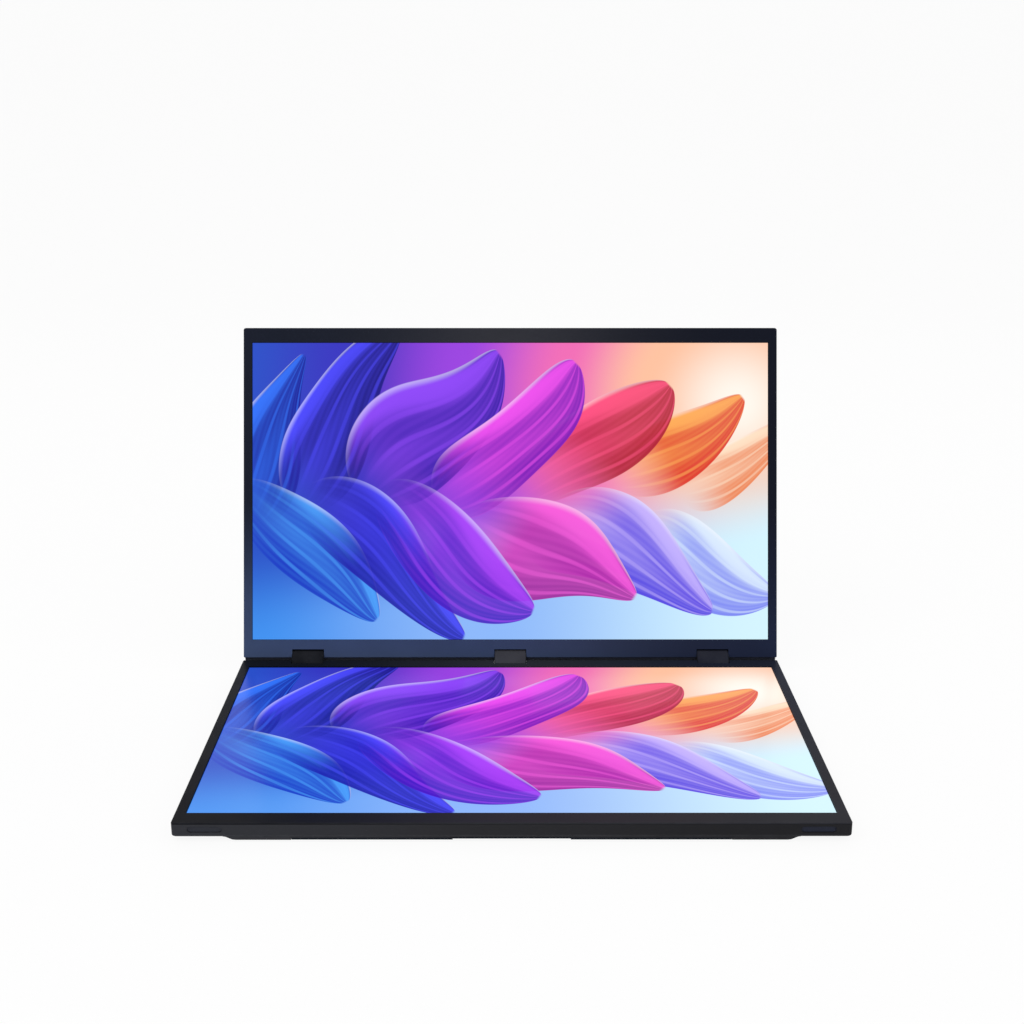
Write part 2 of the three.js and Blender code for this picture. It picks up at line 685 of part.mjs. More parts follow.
// Outline of the raised pan at one depth below the flat underside
function panRing(inset, frontInset) {
  return roundRing(
    -PAN_WIDTH / 2 + inset, PAN_WIDTH / 2 - inset,
    PAN_HINGE_GAP + inset, PANEL_DEPTH - EDGE_ROUND / 2 - frontInset,
    PAN_FRONT_CORNER, CORNER_STEPS, PAN_CORNER,
  );
}

// Raised pan: its ends and rear run down in a soft S-curve
function raisedPan() {
  const sections = [];
  for (let step = SLOPE_STEPS; step >= 0; step -= 1) {
    const share = step / SLOPE_STEPS;
    const fall = THREE.MathUtils.smoothstep(share, 0, 1);
    sections.push({
      ring: panRing(PAN_SLOPE * share, PAN_FRONT_STEP * share),
      z: -LOWER_THICKNESS - PAN_DROP * fall,
    });
  }
  sections.push({ ring: panRing(0, 0), z: -LOWER_THICKNESS + LOWER_FLOOR / 2 });
  return loft(sections);
}

// Hollow of the pan outside the kickstand's recess
function panHollow() {
  const hollow = plate(
    -PAN_FLAT_HALF + PAN_WALL, PAN_FLAT_HALF - PAN_WALL,
    PAN_HINGE_GAP + PAN_SLOPE + PAN_WALL, PANEL_DEPTH - SIDE_WALL - PAN_FRONT_STEP,
    PAN_INNER, LOWER_INNER + OVERRUN, PAN_CORNER - PAN_WALL - PAN_SLOPE / 2,
  );
  const keep = STAND_WIDTH / 2 + STAND_SIDE_GAP + PAN_WALL;
  return hollow.subtract(block(
    -keep, keep, STAND_REAR - PAN_WALL, PANEL_DEPTH + OVERRUN,
    PAN_BOTTOM, LOWER_INNER + 2 * OVERRUN,
  ));
}

// Recess that takes the folded kickstand, open at the front edge
function standRecess() {
  const half = STAND_WIDTH / 2 + STAND_SIDE_GAP;
  return block(-half, half, STAND_REAR, PANEL_DEPTH + OVERRUN, PAN_BOTTOM - OVERRUN, STAND_TOP + FIT);
}

function standPocket(x, growth) {
  return block(
    x - STAND_POCKET_HALF - growth, x + STAND_POCKET_HALF + growth,
    STAND_REAR - growth, STAND_PIVOT + STAND_KNUCKLE_RADIUS + STAND_GAP + growth,
    growth > 0 ? LOWER_INNER - LOWER_FLOOR / 2 : PAN_BOTTOM - OVERRUN, STAND_ROOF + growth,
  );
}

// Scoop for a fingertip above the kickstand's free edge
function fingerScoop() {
  return plate(
    -FINGER_WIDTH / 2, FINGER_WIDTH / 2, PANEL_DEPTH - FINGER_DEPTH, PANEL_DEPTH + FINGER_DEPTH,
    STAND_TOP, STAND_TOP + FIT + FINGER_RISE, SIDE_WALL,
  );
}

function footPlaces() {
  return [-1, 1].flatMap((side) => [
    { x: side * FOOT_OFFSET, y: PANEL_DEPTH - FOOT_FRONT_INSET },
    { x: side * FOOT_OFFSET, y: FOOT_REAR_INSET },
  ]);
}

function footSeat({ x, y }) {
  return plate(
    x - FOOT_WIDTH / 2 - SLIP, x + FOOT_WIDTH / 2 + SLIP,
    y - FOOT_LENGTH / 2 - SLIP, y + FOOT_LENGTH / 2 + SLIP,
    PAN_BOTTOM - OVERRUN, PAN_BOTTOM + FOOT_SEAT, FOOT_WIDTH / 4,
  );
}

function ventPlaces() {
  const first = BOARD_INNER + VENT_INNER_STEP;
  const pitch = (PAN_FLAT_HALF - VENT_OUTER_STEP - first) / (VENT_COUNT - 1);
  return Array.from({ length: VENT_COUNT }, (unused, index) => first + index * pitch);
}

// Cooling slots through the pan under the main board
function ventTools() {
  const near = BOARD_FAR - VENT_LENGTH * 3 / 2;
  return ventPlaces().map((x) => plate(
    x - VENT_WIDTH / 2, x + VENT_WIDTH / 2, near, near + VENT_LENGTH,
    PAN_BOTTOM - OVERRUN, PAN_INNER + FIT, VENT_WIDTH / 3, SMALL_CORNER_STEPS,
  ));
}

function lowerRibPlaces() {
  const slots = ventPlaces();
  const inboard = RIB_SHARES.map((share) => share * PAN_FLAT_HALF);
  const between = RIB_SLOTS.map((index) => (slots[index] + slots[index + 1]) / 2);
  return [...inboard, ...between].flatMap((x) => [-x, x]);
}

// Openings for the sockets through the left wall
function socketTools() {
  const x0 = HALF_WIDTH - SIDE_WALL - OVERRUN;
  const x1 = HALF_WIDTH + OVERRUN;
  const slot = (place, width) => alongX(
    stadium(place, -SOCKET_DROP, width + 2 * SLIP, SOCKET_HEIGHT + 2 * SLIP), x0, x1,
  );
  return [
    ...USB_PLACES.map((place) => slot(place, USB_WIDTH)),
    alongX(hdmiOutline(-SLIP), x0, x1),
    slot(JACK_PLACE, JACK_WIDTH),
  ];
}

// Openings for the buttons through the right wall
function buttonTools() {
  return BUTTON_PLACES.map((place, index) => alongX(
    stadium(place, -SOCKET_DROP, BUTTON_LENGTHS[index] + 2 * SLIP, BUTTON_HEIGHT + 2 * SLIP),
    BUTTON_FACE - OVERRUN, BUTTON_FACE + SIDE_WALL + OVERRUN,
  ));
}

// Sound slots through the front wall
function speakerTools() {
  return [-1, 1].map((side) => alongY(
    stadium(side * SPEAKER_OFFSET, -SPEAKER_DROP, SPEAKER_SLOT_WIDTH, SPEAKER_SLOT_HEIGHT),
    PANEL_DEPTH - SIDE_WALL - OVERRUN, PANEL_DEPTH + OVERRUN,
  ));
}

function boardBossPlaces() {
  const near = BOARD_NEAR + BOSS_INSET;
  const far = BOARD_FAR - BOSS_INSET;
  const inner = BOARD_INNER + BOSS_INSET;
  const outer = PAN_FLAT_HALF - PAN_WALL - 2 * BOSS_RADIUS;
  return [
    { x: inner, y: near }, { x: inner, y: far }, { x: outer, y: near }, { x: outer, y: far },
  ];
}

// Bosses that carry the main board
function boardBosses() {
  return boardBossPlaces().map(({ x, y }) => rodZ(
    BOSS_RADIUS, x, y, PAN_BOTTOM + LOWER_FLOOR / 2, BOARD_BOTTOM - BOND,
  ).subtract(rodZ(BOSS_BORE, x, y, PAN_INNER, OVERRUN)));
}

// Posts behind the small board of the buttons
function buttonPosts() {
  const x0 = BUTTON_BOARD_X + BOARD_SHEET + BOND;
  return [BUTTON_PLACES[0], BUTTON_PLACES[BUTTON_PLACES.length - 1]].map((place) => block(
    x0, x0 + RIB, place - BUTTON_HEIGHT, place + BUTTON_HEIGHT,
    LOWER_INNER - LOWER_FLOOR / 2, TRAY_BOTTOM - FIT,
  ));
}

// Lower housing: rounded tray, raised pan, kickstand recess, bosses, ribs and openings
function lowerRearCover() {
  const ribs = floorRibs(
    lowerRibPlaces(),
    PAN_HINGE_GAP + PAN_SLOPE, STAND_REAR, PAN_BOTTOM + LOWER_FLOOR / 2, LOWER_INNER,
  );
  const shell = joined([
    coverShell(LOWER_THICKNESS, LOWER_INNER, LOWER_ROLL), raisedPan(),
  ]).subtract(panHollow());
  const built = joined([
    shell, ...notchWalls(LOWER_INNER), ...ribs, ...boardBosses(), ...buttonPosts(),
    ...STAND_PLACES.map((x) => standPocket(x, LOWER_FLOOR)),
  ]);
  const solid = cutBy(built, [
    ...notchTools(), ...pinHoles(), ribbonWindow(ribbonHeight()),
    standRecess(), ...STAND_PLACES.map((x) => standPocket(x, 0)), fingerScoop(),
    ...footPlaces().map(footSeat), ...ventTools(),
    ...socketTools(), ...buttonTools(), ...speakerTools(),
  ]);
  return part('lower_rear_cover', solid, FINISHES.housing);
}

// Cast link with two pin bores, shown by its flat face between the screens
function linkBody() {
  const shape = new THREE.Shape();
  shape.absarc(0, 0, LINK_RADIUS, Math.PI / 2, Math.PI * 3 / 2, false);
  shape.absarc(PIN_SPAN, 0, LINK_RADIUS, -Math.PI / 2, Math.PI / 2, false);
  return shape;
}

function hingeLink(name, x) {
  const body = alongX(linkBody(), x - LINK_WIDTH / 2, x + LINK_WIDTH / 2, LINK_CHAMFER);
  const bores = [0, PIN_SPAN].map((y) => rodX(
    PIN_HOLE, x - LINK_WIDTH / 2 - OVERRUN, x + LINK_WIDTH / 2 + OVERRUN, y, 0,
  ));
  return part(name, cutBy(body, bores), FINISHES.link);
}

// Hollow middle link that leads the ribbon across, turning on its own trunnions
function cableLink() {
  const body = alongX(linkBody(), -LINK_WIDTH / 2, LINK_WIDTH / 2, LINK_CHAMFER);
  const reach = NOTCH_WIDTH / 2 + HINGE_WALL;
  const trunnions = [0, PIN_SPAN].map((y) => rodX(TRUNNION_RADIUS, -reach, reach, y, 0));
  const passage = block(
    -CABLE_SLOT_WIDTH / 2, CABLE_SLOT_WIDTH / 2,
    -LINK_RADIUS - OVERRUN, PIN_SPAN + LINK_RADIUS + OVERRUN,
    -CABLE_SLOT_HEIGHT / 2, CABLE_SLOT_HEIGHT / 2,
  );
  return part('cable_link', joined([body, ...trunnions]).subtract(passage), FINISHES.link);
}

// Flat cable inside the middle link
function linkRibbon() {
  const solid = block(
    -RIBBON_WIDTH / 2, RIBBON_WIDTH / 2, -LINK_RADIUS, PIN_SPAN + LINK_RADIUS,
    -CABLE_SLOT_HEIGHT / 2 + FIT, -CABLE_SLOT_HEIGHT / 2 + FIT + RIBBON,
  );
  return part('link_ribbon', solid, FINISHES.ribbon);
}

// Steel pin turned with a head outside one ear and a peened end outside the other
function hingePin(name, x, y) {
  const half = EAR_FAR + FIT;
  const profile = [
    [0, -half - PIN_HEAD],
    [PIN_HEAD_RADIUS, -half - PIN_HEAD],
    [PIN_HEAD_RADIUS, -half],
    [PIN_RADIUS, -half],
    [PIN_RADIUS, half],
    [PIN_HEAD_RADIUS, half],
    [PIN_HEAD_RADIUS, half + PIN_HEAD],
    [0, half + PIN_HEAD],
  ].map(([radius, along]) => new THREE.Vector2(radius, along));
  const geometry = new THREE.LatheGeometry(profile, ROD_SIDES);
  geometry.rotateZ(-Math.PI / 2);
  geometry.translate(x, y, 0);
  return part(name, solidOf(geometry), FINISHES.steel);
}

// Slim kickstand plate with two rolled knuckles at its pivot edge and a shallow finger notch
function kickstandPlate() {
  const half = STAND_WIDTH / 2;
  const sheet = plate(
    -half, half, STAND_PIVOT + STAND_KNUCKLE_RADIUS + STAND_GAP * 2, STAND_FRONT,
    STAND_BOTTOM, STAND_TOP, STAND_FREE_CORNER, CORNER_STEPS, STAND_CORNER,
  );
  const notch = block(
    -FINGER_WIDTH / 2, FINGER_WIDTH / 2, STAND_FRONT - FINGER_NOTCH, PANEL_DEPTH,
    PAN_BOTTOM, STAND_TOP + FIT,
  );
  const tongues = STAND_PLACES.map((x) => block(
    x - STAND_KNUCKLE_WIDTH / 2, x + STAND_KNUCKLE_WIDTH / 2,
    STAND_PIVOT, STAND_PIVOT + STAND_CORNER, STAND_BOTTOM, STAND_TOP,
  ));
  const knuckles = STAND_PLACES.map((x) => rodX(
    STAND_KNUCKLE_RADIUS, x - STAND_KNUCKLE_WIDTH / 2, x + STAND_KNUCKLE_WIDTH / 2,
    STAND_PIVOT, STAND_PIN_Z,
  ));
  const bores = STAND_PLACES.map((x) => rodX(
    STAND_PIN_HOLE, x - STAND_KNUCKLE_WIDTH, x + STAND_KNUCKLE_WIDTH, STAND_PIVOT, STAND_PIN_Z,
  ));
  const solid = cutBy(joined([sheet, ...tongues, ...knuckles]), [notch, ...bores]);
  return part('kickstand_plate', solid, FINISHES.stand);
}

function kickstandPin(name, x) {
  const half = STAND_POCKET_HALF - SLIP;
  const rod = rodX(STAND_PIN_RADIUS, x - half, x + half, STAND_PIVOT, STAND_PIN_Z);
  return part(name, rod, FINISHES.steel);
}

// Steel yoke in the housing that holds the kickstand's pin at both sides of the knuckle
function kickstandBracket(name, x) {
  const top = STAND_ROOF - SLIP;
  const base = block(
    x - STAND_POCKET_HALF + SLIP, x + STAND_POCKET_HALF - SLIP,
    STAND_PIVOT - STAND_KNUCKLE_RADIUS, STAND_PIVOT + STAND_KNUCKLE_RADIUS,
    top - BRACKET_SHEET, top,
  );
  const ears = [-1, 1].map((side) => {
    const near = STAND_KNUCKLE_WIDTH / 2 + FIT;
    const start = side > 0 ? x + near : x - near - STAND_EAR;
    const outline = new THREE.Shape();
    outline.moveTo(STAND_PIVOT + STAND_KNUCKLE_RADIUS, top - BRACKET_SHEET / 2);
    outline.lineTo(STAND_PIVOT - STAND_KNUCKLE_RADIUS, top - BRACKET_SHEET / 2);
    outline.absarc(STAND_PIVOT, STAND_PIN_Z, STAND_KNUCKLE_RADIUS, Math.PI, Math.PI * 2, false);
    return alongX(outline, start, start + STAND_EAR);
  });
  const hole = rodX(
    STAND_PIN_HOLE, x - STAND_POCKET_HALF, x + STAND_POCKET_HALF, STAND_PIVOT, STAND_PIN_Z,
  );
  return part(name, joined([base, ...ears]).subtract(hole), FINISHES.steel);
}

// Slim speaker with an oval diaphragm behind its sound slot
function speaker(name, side) {
  const x = side * SPEAKER_OFFSET;
  const front = PANEL_DEPTH - SIDE_WALL - FIT;
  const z = -SPEAKER_DROP;
  const body = block(
    x - SPEAKER_WIDTH / 2, x + SPEAKER_WIDTH / 2, front - SPEAKER_DEPTH, front,
    z - SPEAKER_HEIGHT / 2, z + SPEAKER_HEIGHT / 2,
  );
  const well = alongY(
    stadium(x, z, SPEAKER_WIDTH - 2 * SPEAKER_SURROUND, SPEAKER_HEIGHT - 2 * SPEAKER_SURROUND),
    front - SPEAKER_SURROUND, front + OVERRUN,
  );
  const cone = alongY(
    stadium(x, z, SPEAKER_WIDTH - 4 * SPEAKER_SURROUND, SPEAKER_HEIGHT - 3 * SPEAKER_SURROUND),
    front - SPEAKER_DEPTH / 2, front - SPEAKER_SURROUND / 2,
  );
  return part(name, body.subtract(well).add(cone), FINISHES.speaker);
}

// Reversible socket: oval metal shell with a tongue in its mouth
function usbSocket(name, place) {
  const shell = alongX(
    stadium(place, -SOCKET_DROP, USB_WIDTH, SOCKET_HEIGHT), SOCKET_FACE - USB_DEPTH, SOCKET_FACE,
  );
  const mouth = alongX(
    stadium(place, -SOCKET_DROP, USB_WIDTH - 2 * USB_SHELL, SOCKET_HEIGHT - 2 * USB_SHELL),
    SOCKET_FACE - USB_DEPTH + 2 * USB_SHELL, SOCKET_FACE + OVERRUN,
  );
  const tongue = block(
    SOCKET_FACE - USB_DEPTH + USB_SHELL, SOCKET_FACE - 2 * USB_SHELL,
    place - USB_TONGUE_WIDTH / 2, place + USB_TONGUE_WIDTH / 2,
    -SOCKET_DROP - USB_TONGUE / 2, -SOCKET_DROP + USB_TONGUE / 2,
  );
  return part(name, shell.subtract(mouth).add(tongue), FINISHES.steel);
}

// Outline of the small video socket: flat top, two sloped lower corners
function hdmiOutline(inset) {
  const half = HDMI_WIDTH / 2 - inset;
  const rise = SOCKET_HEIGHT / 2 - inset;
  const shape = new THREE.Shape();
  shape.moveTo(HDMI_PLACE - half, -SOCKET_DROP + rise);
  shape.lineTo(HDMI_PLACE - half, -SOCKET_DROP);
  shape.lineTo(HDMI_PLACE - half * 3 / 4, -SOCKET_DROP - rise);
  shape.lineTo(HDMI_PLACE + half * 3 / 4, -SOCKET_DROP - rise);
  shape.lineTo(HDMI_PLACE + half, -SOCKET_DROP);
  shape.lineTo(HDMI_PLACE + half, -SOCKET_DROP + rise);
  return shape;
}

// Small video socket: metal shell with a tongue in its mouth
function hdmiSocket() {
  const shell = alongX(hdmiOutline(0), SOCKET_FACE - HDMI_DEPTH, SOCKET_FACE);
  const mouth = alongX(
    hdmiOutline(USB_SHELL), SOCKET_FACE - HDMI_DEPTH + 2 * USB_SHELL, SOCKET_FACE + OVERRUN,
  );
  const tongue = block(
    SOCKET_FACE - HDMI_DEPTH + USB_SHELL, SOCKET_FACE - 2 * USB_SHELL,
    HDMI_PLACE - HDMI_WIDTH / 3, HDMI_PLACE + HDMI_WIDTH / 3,
    -SOCKET_DROP - USB_TONGUE / 2, -SOCKET_DROP + USB_TONGUE / 2,
  );
  return part('mini_hdmi_socket', shell.subtract(mouth).add(tongue), FINISHES.steel);
}

// Headphone jack: block with a round bore
function audioJack() {
  const body = block(
    SOCKET_FACE - JACK_DEPTH, SOCKET_FACE - SOCKET_RECESS,
    JACK_PLACE - JACK_WIDTH / 2 + SLIP, JACK_PLACE + JACK_WIDTH / 2 - SLIP,
    -SOCKET_DROP - SOCKET_HEIGHT / 2, -SOCKET_DROP + SOCKET_HEIGHT / 2,
  );
  const inWall = alongX(
    stadium(JACK_PLACE, -SOCKET_DROP, JACK_WIDTH, SOCKET_HEIGHT),
    SOCKET_FACE - SIDE_WALL - SLIP, SOCKET_FACE,
  );
  const trimmed = body.intersect(block(
    SOCKET_FACE - JACK_DEPTH, SOCKET_FACE - SIDE_WALL, 0, PANEL_DEPTH, PAN_BOTTOM, 0,
  ));
  const bore = rodX(
    JACK_BORE, SOCKET_FACE - JACK_DEPTH * 3 / 4, SOCKET_FACE + OVERRUN, JACK_PLACE, -SOCKET_DROP,
  );
  return part('audio_jack', trimmed.add(inWall).subtract(bore), FINISHES.speaker);
}

// Main board, notched round each socket and drilled over its bosses
function mainBoard() {
  const sheet = plate(
    BOARD_INNER, BOARD_OUTER, BOARD_NEAR, BOARD_FAR, BOARD_BOTTOM, BOARD_TOP, CORNER_RADIUS / 2,
  );
  const slot = (place, width, depth) => block(
    SOCKET_FACE - depth - FIT, HALF_WIDTH, place - width / 2 - FIT, place + width / 2 + FIT,
    BOARD_BOTTOM - OVERRUN, BOARD_TOP + OVERRUN,
  );
  const slots = [
    ...USB_PLACES.map((place) => slot(place, USB_WIDTH, USB_DEPTH)),
    slot(HDMI_PLACE, HDMI_WIDTH, HDMI_DEPTH),
    slot(JACK_PLACE, JACK_WIDTH, JACK_DEPTH),
  ];
  const holes = boardBossPlaces().map(({ x, y }) => rodZ(
    BOSS_BORE, x, y, BOARD_BOTTOM - OVERRUN, BOARD_TOP + OVERRUN,
  ));
  const chipShares = [[0.2, 0.72], [0.34, 0.24], [0.78, 0.3], [0.8, 0.72]];
  const chips = chipShares.map(([along, across]) => {
    const x = BOARD_INNER + along * BOARD_LENGTH;
    const y = BOARD_NEAR + across * (BOARD_FAR - BOARD_NEAR);
    const half = BOSS_RADIUS * 3 / 2;
    return block(
      x - half, x + half, y - half, y + half,
      BOARD_TOP - BOARD_SHEET / 2, BOARD_TOP + BOARD_SHEET / 2,
    );
  });
  return part('main_board', cutBy(joined([sheet, ...chips]), [...slots, ...holes]), FINISHES.board);
}

// Pressed shield can over the picture processor
function boardShield() {
  const x = BOARD_INNER + BOARD_LENGTH / 2;
  const y = (BOARD_NEAR + BOARD_FAR) / 2;
  const z0 = BOARD_TOP + PART_LINE;
  const can = plate(
    x - SHIELD_WIDTH / 2, x + SHIELD_WIDTH / 2, y - SHIELD_DEPTH / 2, y + SHIELD_DEPTH / 2,
    z0, z0 + SHIELD_HEIGHT, CORNER_RADIUS / 2,
  );
  const inside = plate(
    x - SHIELD_WIDTH / 2 + SHIELD_SHEET, x + SHIELD_WIDTH / 2 - SHIELD_SHEET,
    y - SHIELD_DEPTH / 2 + SHIELD_SHEET, y + SHIELD_DEPTH / 2 - SHIELD_SHEET,
    z0 - OVERRUN, z0 + SHIELD_HEIGHT - SHIELD_SHEET, CORNER_RADIUS / 2 - SHIELD_SHEET,
  );
  return part('board_shield', can.subtract(inside), FINISHES.sheet);
}

// Button cap through the wall with a wider flange that keeps it in
function button(name, index) {
  const place = BUTTON_PLACES[index];
  const length = BUTTON_LENGTHS[index];
  const cap = alongX(stadium(place, -SOCKET_DROP, length, BUTTON_HEIGHT), BUTTON_FACE, BUTTON_INNER);
  const flange = alongX(
    stadium(place, -SOCKET_DROP, length + 2 * BUTTON_FLANGE_MARGIN, BUTTON_HEIGHT + BUTTON_FLANGE_MARGIN),
    BUTTON_INNER, BUTTON_BACK,
  );
  return part(name, cap.add(flange), FINISHES.button);
}

// Small upright board with one switch behind each button
function buttonBoard() {
  const z0 = -SOCKET_DROP - BUTTON_BOARD_HEIGHT / 2;
  const z1 = z0 + BUTTON_BOARD_HEIGHT;
  const sheet = block(
    BUTTON_BOARD_X, BUTTON_BOARD_X + BOARD_SHEET,
    BUTTON_PLACES[0] - BUTTON_LENGTHS[0] / 2, BUTTON_PLACES[2] + BUTTON_LENGTHS[2] / 2, z0, z1,
  );
  const switches = BUTTON_PLACES.map((place) => block(
    SWITCH_FACE, BUTTON_BOARD_X + BOARD_SHEET / 2, place - SWITCH_SIZE / 2, place + SWITCH_SIZE / 2,
    -SOCKET_DROP - SWITCH_HEIGHT / 2, -SOCKET_DROP + SWITCH_HEIGHT / 2,
  ));
  return part('button_board', joined([sheet, ...switches]), FINISHES.board);
}

// Rubber foot glued in its seat, with a softened lower edge
function rubberFoot(name, { x, y }) {
  const ring = (inset) => roundRing(
    x - FOOT_WIDTH / 2 + inset, x + FOOT_WIDTH / 2 - inset,
    y - FOOT_LENGTH / 2 + inset, y + FOOT_LENGTH / 2 - inset, FOOT_WIDTH / 4 - inset,
  );
  const bottom = PAN_BOTTOM - FOOT_PROUD;
  const solid = loft([
    { ring: ring(FOOT_EDGE), z: bottom },
    { ring: ring(0), z: bottom + FOOT_EDGE },
    { ring: ring(0), z: PAN_BOTTOM + FOOT_SEAT - PART_LINE },
  ]);
  return part(name, solid, FINISHES.rubber);
}

// Everything between the housing and the bezel; the shift brings the display nearer the hinge
function displayStack(prefix, shift) {
  return [
    frontFrame(`${prefix}_front_frame`, shift),
    lcdPanel(`${prefix}_lcd_panel`, shift),
    lightGuide(`${prefix}_light_guide`, shift),
    ledStrip(`${prefix}_led_strip`, shift),
    backlightTray(`${prefix}_backlight_tray`, shift),
    driverBoard(`${prefix}_driver_board`, shift),
    panelRibbon(`${prefix}_ribbon`, shift),
  ];
}

// Lower screen, turned so that its free edge faces the viewer; its local +X is the viewer's left
function lowerScreen() {
  const group = new THREE.Group();
  group.rotation.z = Math.PI;
  group.position.y = -EDGE_TO_FOLD;
  const feetNames = ['foot_front_right', 'foot_rear_right', 'foot_front_left', 'foot_rear_left'];
  group.add(
    lowerRearCover(),
    ...displayStack('lower', LOWER_SHIFT),
    hingeBracket('lower_hinge_bracket_right', -HINGE_OFFSET, LOWER_INNER),
    hingeBracket('lower_hinge_bracket_left', HINGE_OFFSET, LOWER_INNER),
    mainBoard(),
    boardShield(),
    usbSocket('usb_c_socket_rear', USB_PLACES[0]),
    usbSocket('usb_c_socket_front', USB_PLACES[1]),
    hdmiSocket(),
    audioJack(),
    speaker('speaker_right', -1),
    speaker('speaker_left', 1),
    button('power_button', 0),
    button('menu_button', 1),
    button('select_button', 2),
    buttonBoard(),
    kickstandPlate(),
    kickstandPin('kickstand_pin_right', -STAND_HINGE_OFFSET),
    kickstandPin('kickstand_pin_left', STAND_HINGE_OFFSET),
    kickstandBracket('kickstand_bracket_right', -STAND_HINGE_OFFSET),
    kickstandBracket('kickstand_bracket_left', STAND_HINGE_OFFSET),
    ...footPlaces().map((place, index) => rubberFoot(feetNames[index], place)),
  );
  return group;
}

// Upper screen, leaning back behind the fold
function upperScreen() {
  const group = new THREE.Group();
  group.rotation.x = FOLD_BACK;
  group.position.set(0, EDGE_TO_FOLD * Math.cos(FOLD_BACK), EDGE_TO_FOLD * Math.sin(FOLD_BACK));
  group.add(
    upperRearCover(),
    ...displayStack('upper', 0),
    hingeBracket('upper_hinge_bracket_left', -HINGE_OFFSET, UPPER_INNER),
    hingeBracket('upper_hinge_bracket_right', HINGE_OFFSET, UPPER_INNER),
  );
  return group;
}

// Links between the screens; their frame starts at the lower pins and points to the upper ones
function hingeLinks() {
  const group = new THREE.Group();
  group.rotation.x = FOLD_BACK / 2;
  group.position.set(0, -EDGE_TO_FOLD - PIN_INSET, -PIN_DROP);
  group.add(
    hingeLink('hinge_link_left', -HINGE_OFFSET),
    hingeLink('hinge_link_right', HINGE_OFFSET),
    cableLink(),
    linkRibbon(),
    hingePin('lower_hinge_pin_left', -HINGE_OFFSET, 0),
    hingePin('lower_hinge_pin_right', HINGE_OFFSET, 0),
    hingePin('upper_hinge_pin_left', -HINGE_OFFSET, PIN_SPAN),
    hingePin('upper_hinge_pin_right', HINGE_OFFSET, PIN_SPAN),
  );
  return group;
}

// The whole device stands on its feet with its origin under the middle of its outer box
const device = new THREE.Group();
device.add(lowerScreen(), upperScreen(), hingeLinks());
device.updateMatrixWorld(true);
const reach = new THREE.Box3().setFromObject(device, true);
device.position.set(-(reach.min.x + reach.max.x) / 2, -(reach.min.y + reach.max.y) / 2, -reach.min.z);

const group = new THREE.Group();
group.add(device);

export default group;
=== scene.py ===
"""Looks of a folding double screen that stands open on a desk.

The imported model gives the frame. Each class below finishes one sub-assembly and adds the small
pieces that it carries. Everything is in metres, +Z is up and the viewer looks along +Y.
"""

import logging
import math
from dataclasses import dataclass
from enum import Enum
from typing import Callable, Optional, Sequence, Union

import bmesh
import bpy
import numpy as np
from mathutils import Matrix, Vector


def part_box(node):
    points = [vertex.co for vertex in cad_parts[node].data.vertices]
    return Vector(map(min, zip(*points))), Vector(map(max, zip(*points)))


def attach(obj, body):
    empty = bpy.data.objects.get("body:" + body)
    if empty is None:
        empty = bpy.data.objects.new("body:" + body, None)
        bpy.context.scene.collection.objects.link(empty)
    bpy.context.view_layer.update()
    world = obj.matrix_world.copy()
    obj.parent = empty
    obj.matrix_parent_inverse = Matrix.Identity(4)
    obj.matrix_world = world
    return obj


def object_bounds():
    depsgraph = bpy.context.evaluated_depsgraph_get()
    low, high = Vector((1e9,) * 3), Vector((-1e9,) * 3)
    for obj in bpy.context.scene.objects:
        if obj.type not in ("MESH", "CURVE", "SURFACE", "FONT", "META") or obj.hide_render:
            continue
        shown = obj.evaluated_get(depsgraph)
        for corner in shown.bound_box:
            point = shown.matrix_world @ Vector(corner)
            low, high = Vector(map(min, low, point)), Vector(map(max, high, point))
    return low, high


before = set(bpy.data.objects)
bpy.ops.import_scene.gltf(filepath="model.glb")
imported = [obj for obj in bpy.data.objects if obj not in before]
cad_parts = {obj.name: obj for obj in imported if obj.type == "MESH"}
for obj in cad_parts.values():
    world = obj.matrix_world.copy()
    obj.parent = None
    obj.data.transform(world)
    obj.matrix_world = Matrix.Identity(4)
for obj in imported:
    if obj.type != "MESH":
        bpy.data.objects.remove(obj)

CAD_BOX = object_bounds()
NODES: dict[str, bpy.types.Object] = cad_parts
LOG = logging.getLogger("double_screen")

Node = bpy.types.Node
Socket = bpy.types.NodeSocket
Tree = bpy.types.NodeTree
Value = Union[float, Socket]
Triple = Union[tuple, Vector, Socket]
Sockets = dict[str, Socket]
Tones = tuple[str, str, str]

MM = 0.001
CLEAR = 0.01 * MM
BLACK, WHITE = (0.0, 0.0, 0.0, 1.0), (1.0, 1.0, 1.0, 1.0)
RIGHT, BACK, UP = Vector((1, 0, 0)), Vector((0, 1, 0)), Vector((0, 0, 1))
QUARTER_TURN = math.pi / 2
SIDES = ("left", "right")
SIGNS = (-1, 1)
LINKS = ("hinge_link_left", "hinge_link_right", "cable_link")


def linear(code: str) -> tuple[float, float, float, float]:
    """Turn a six-digit sRGB code into the linear colour that a shader socket takes.

    Args:
        code: red, green and blue as two hexadecimal digits each.

    Returns:
        Linear red, green, blue and a full alpha.
    """
    parts = np.array([int(code[i:i + 2], 16) / 255 for i in (0, 2, 4)])
    low, high = parts / 12.92, ((parts + 0.055) / 1.055) ** 2.4
    red, green, blue = np.where(parts <= 0.04045, low, high)
    return float(red), float(green), float(blue), 1.0


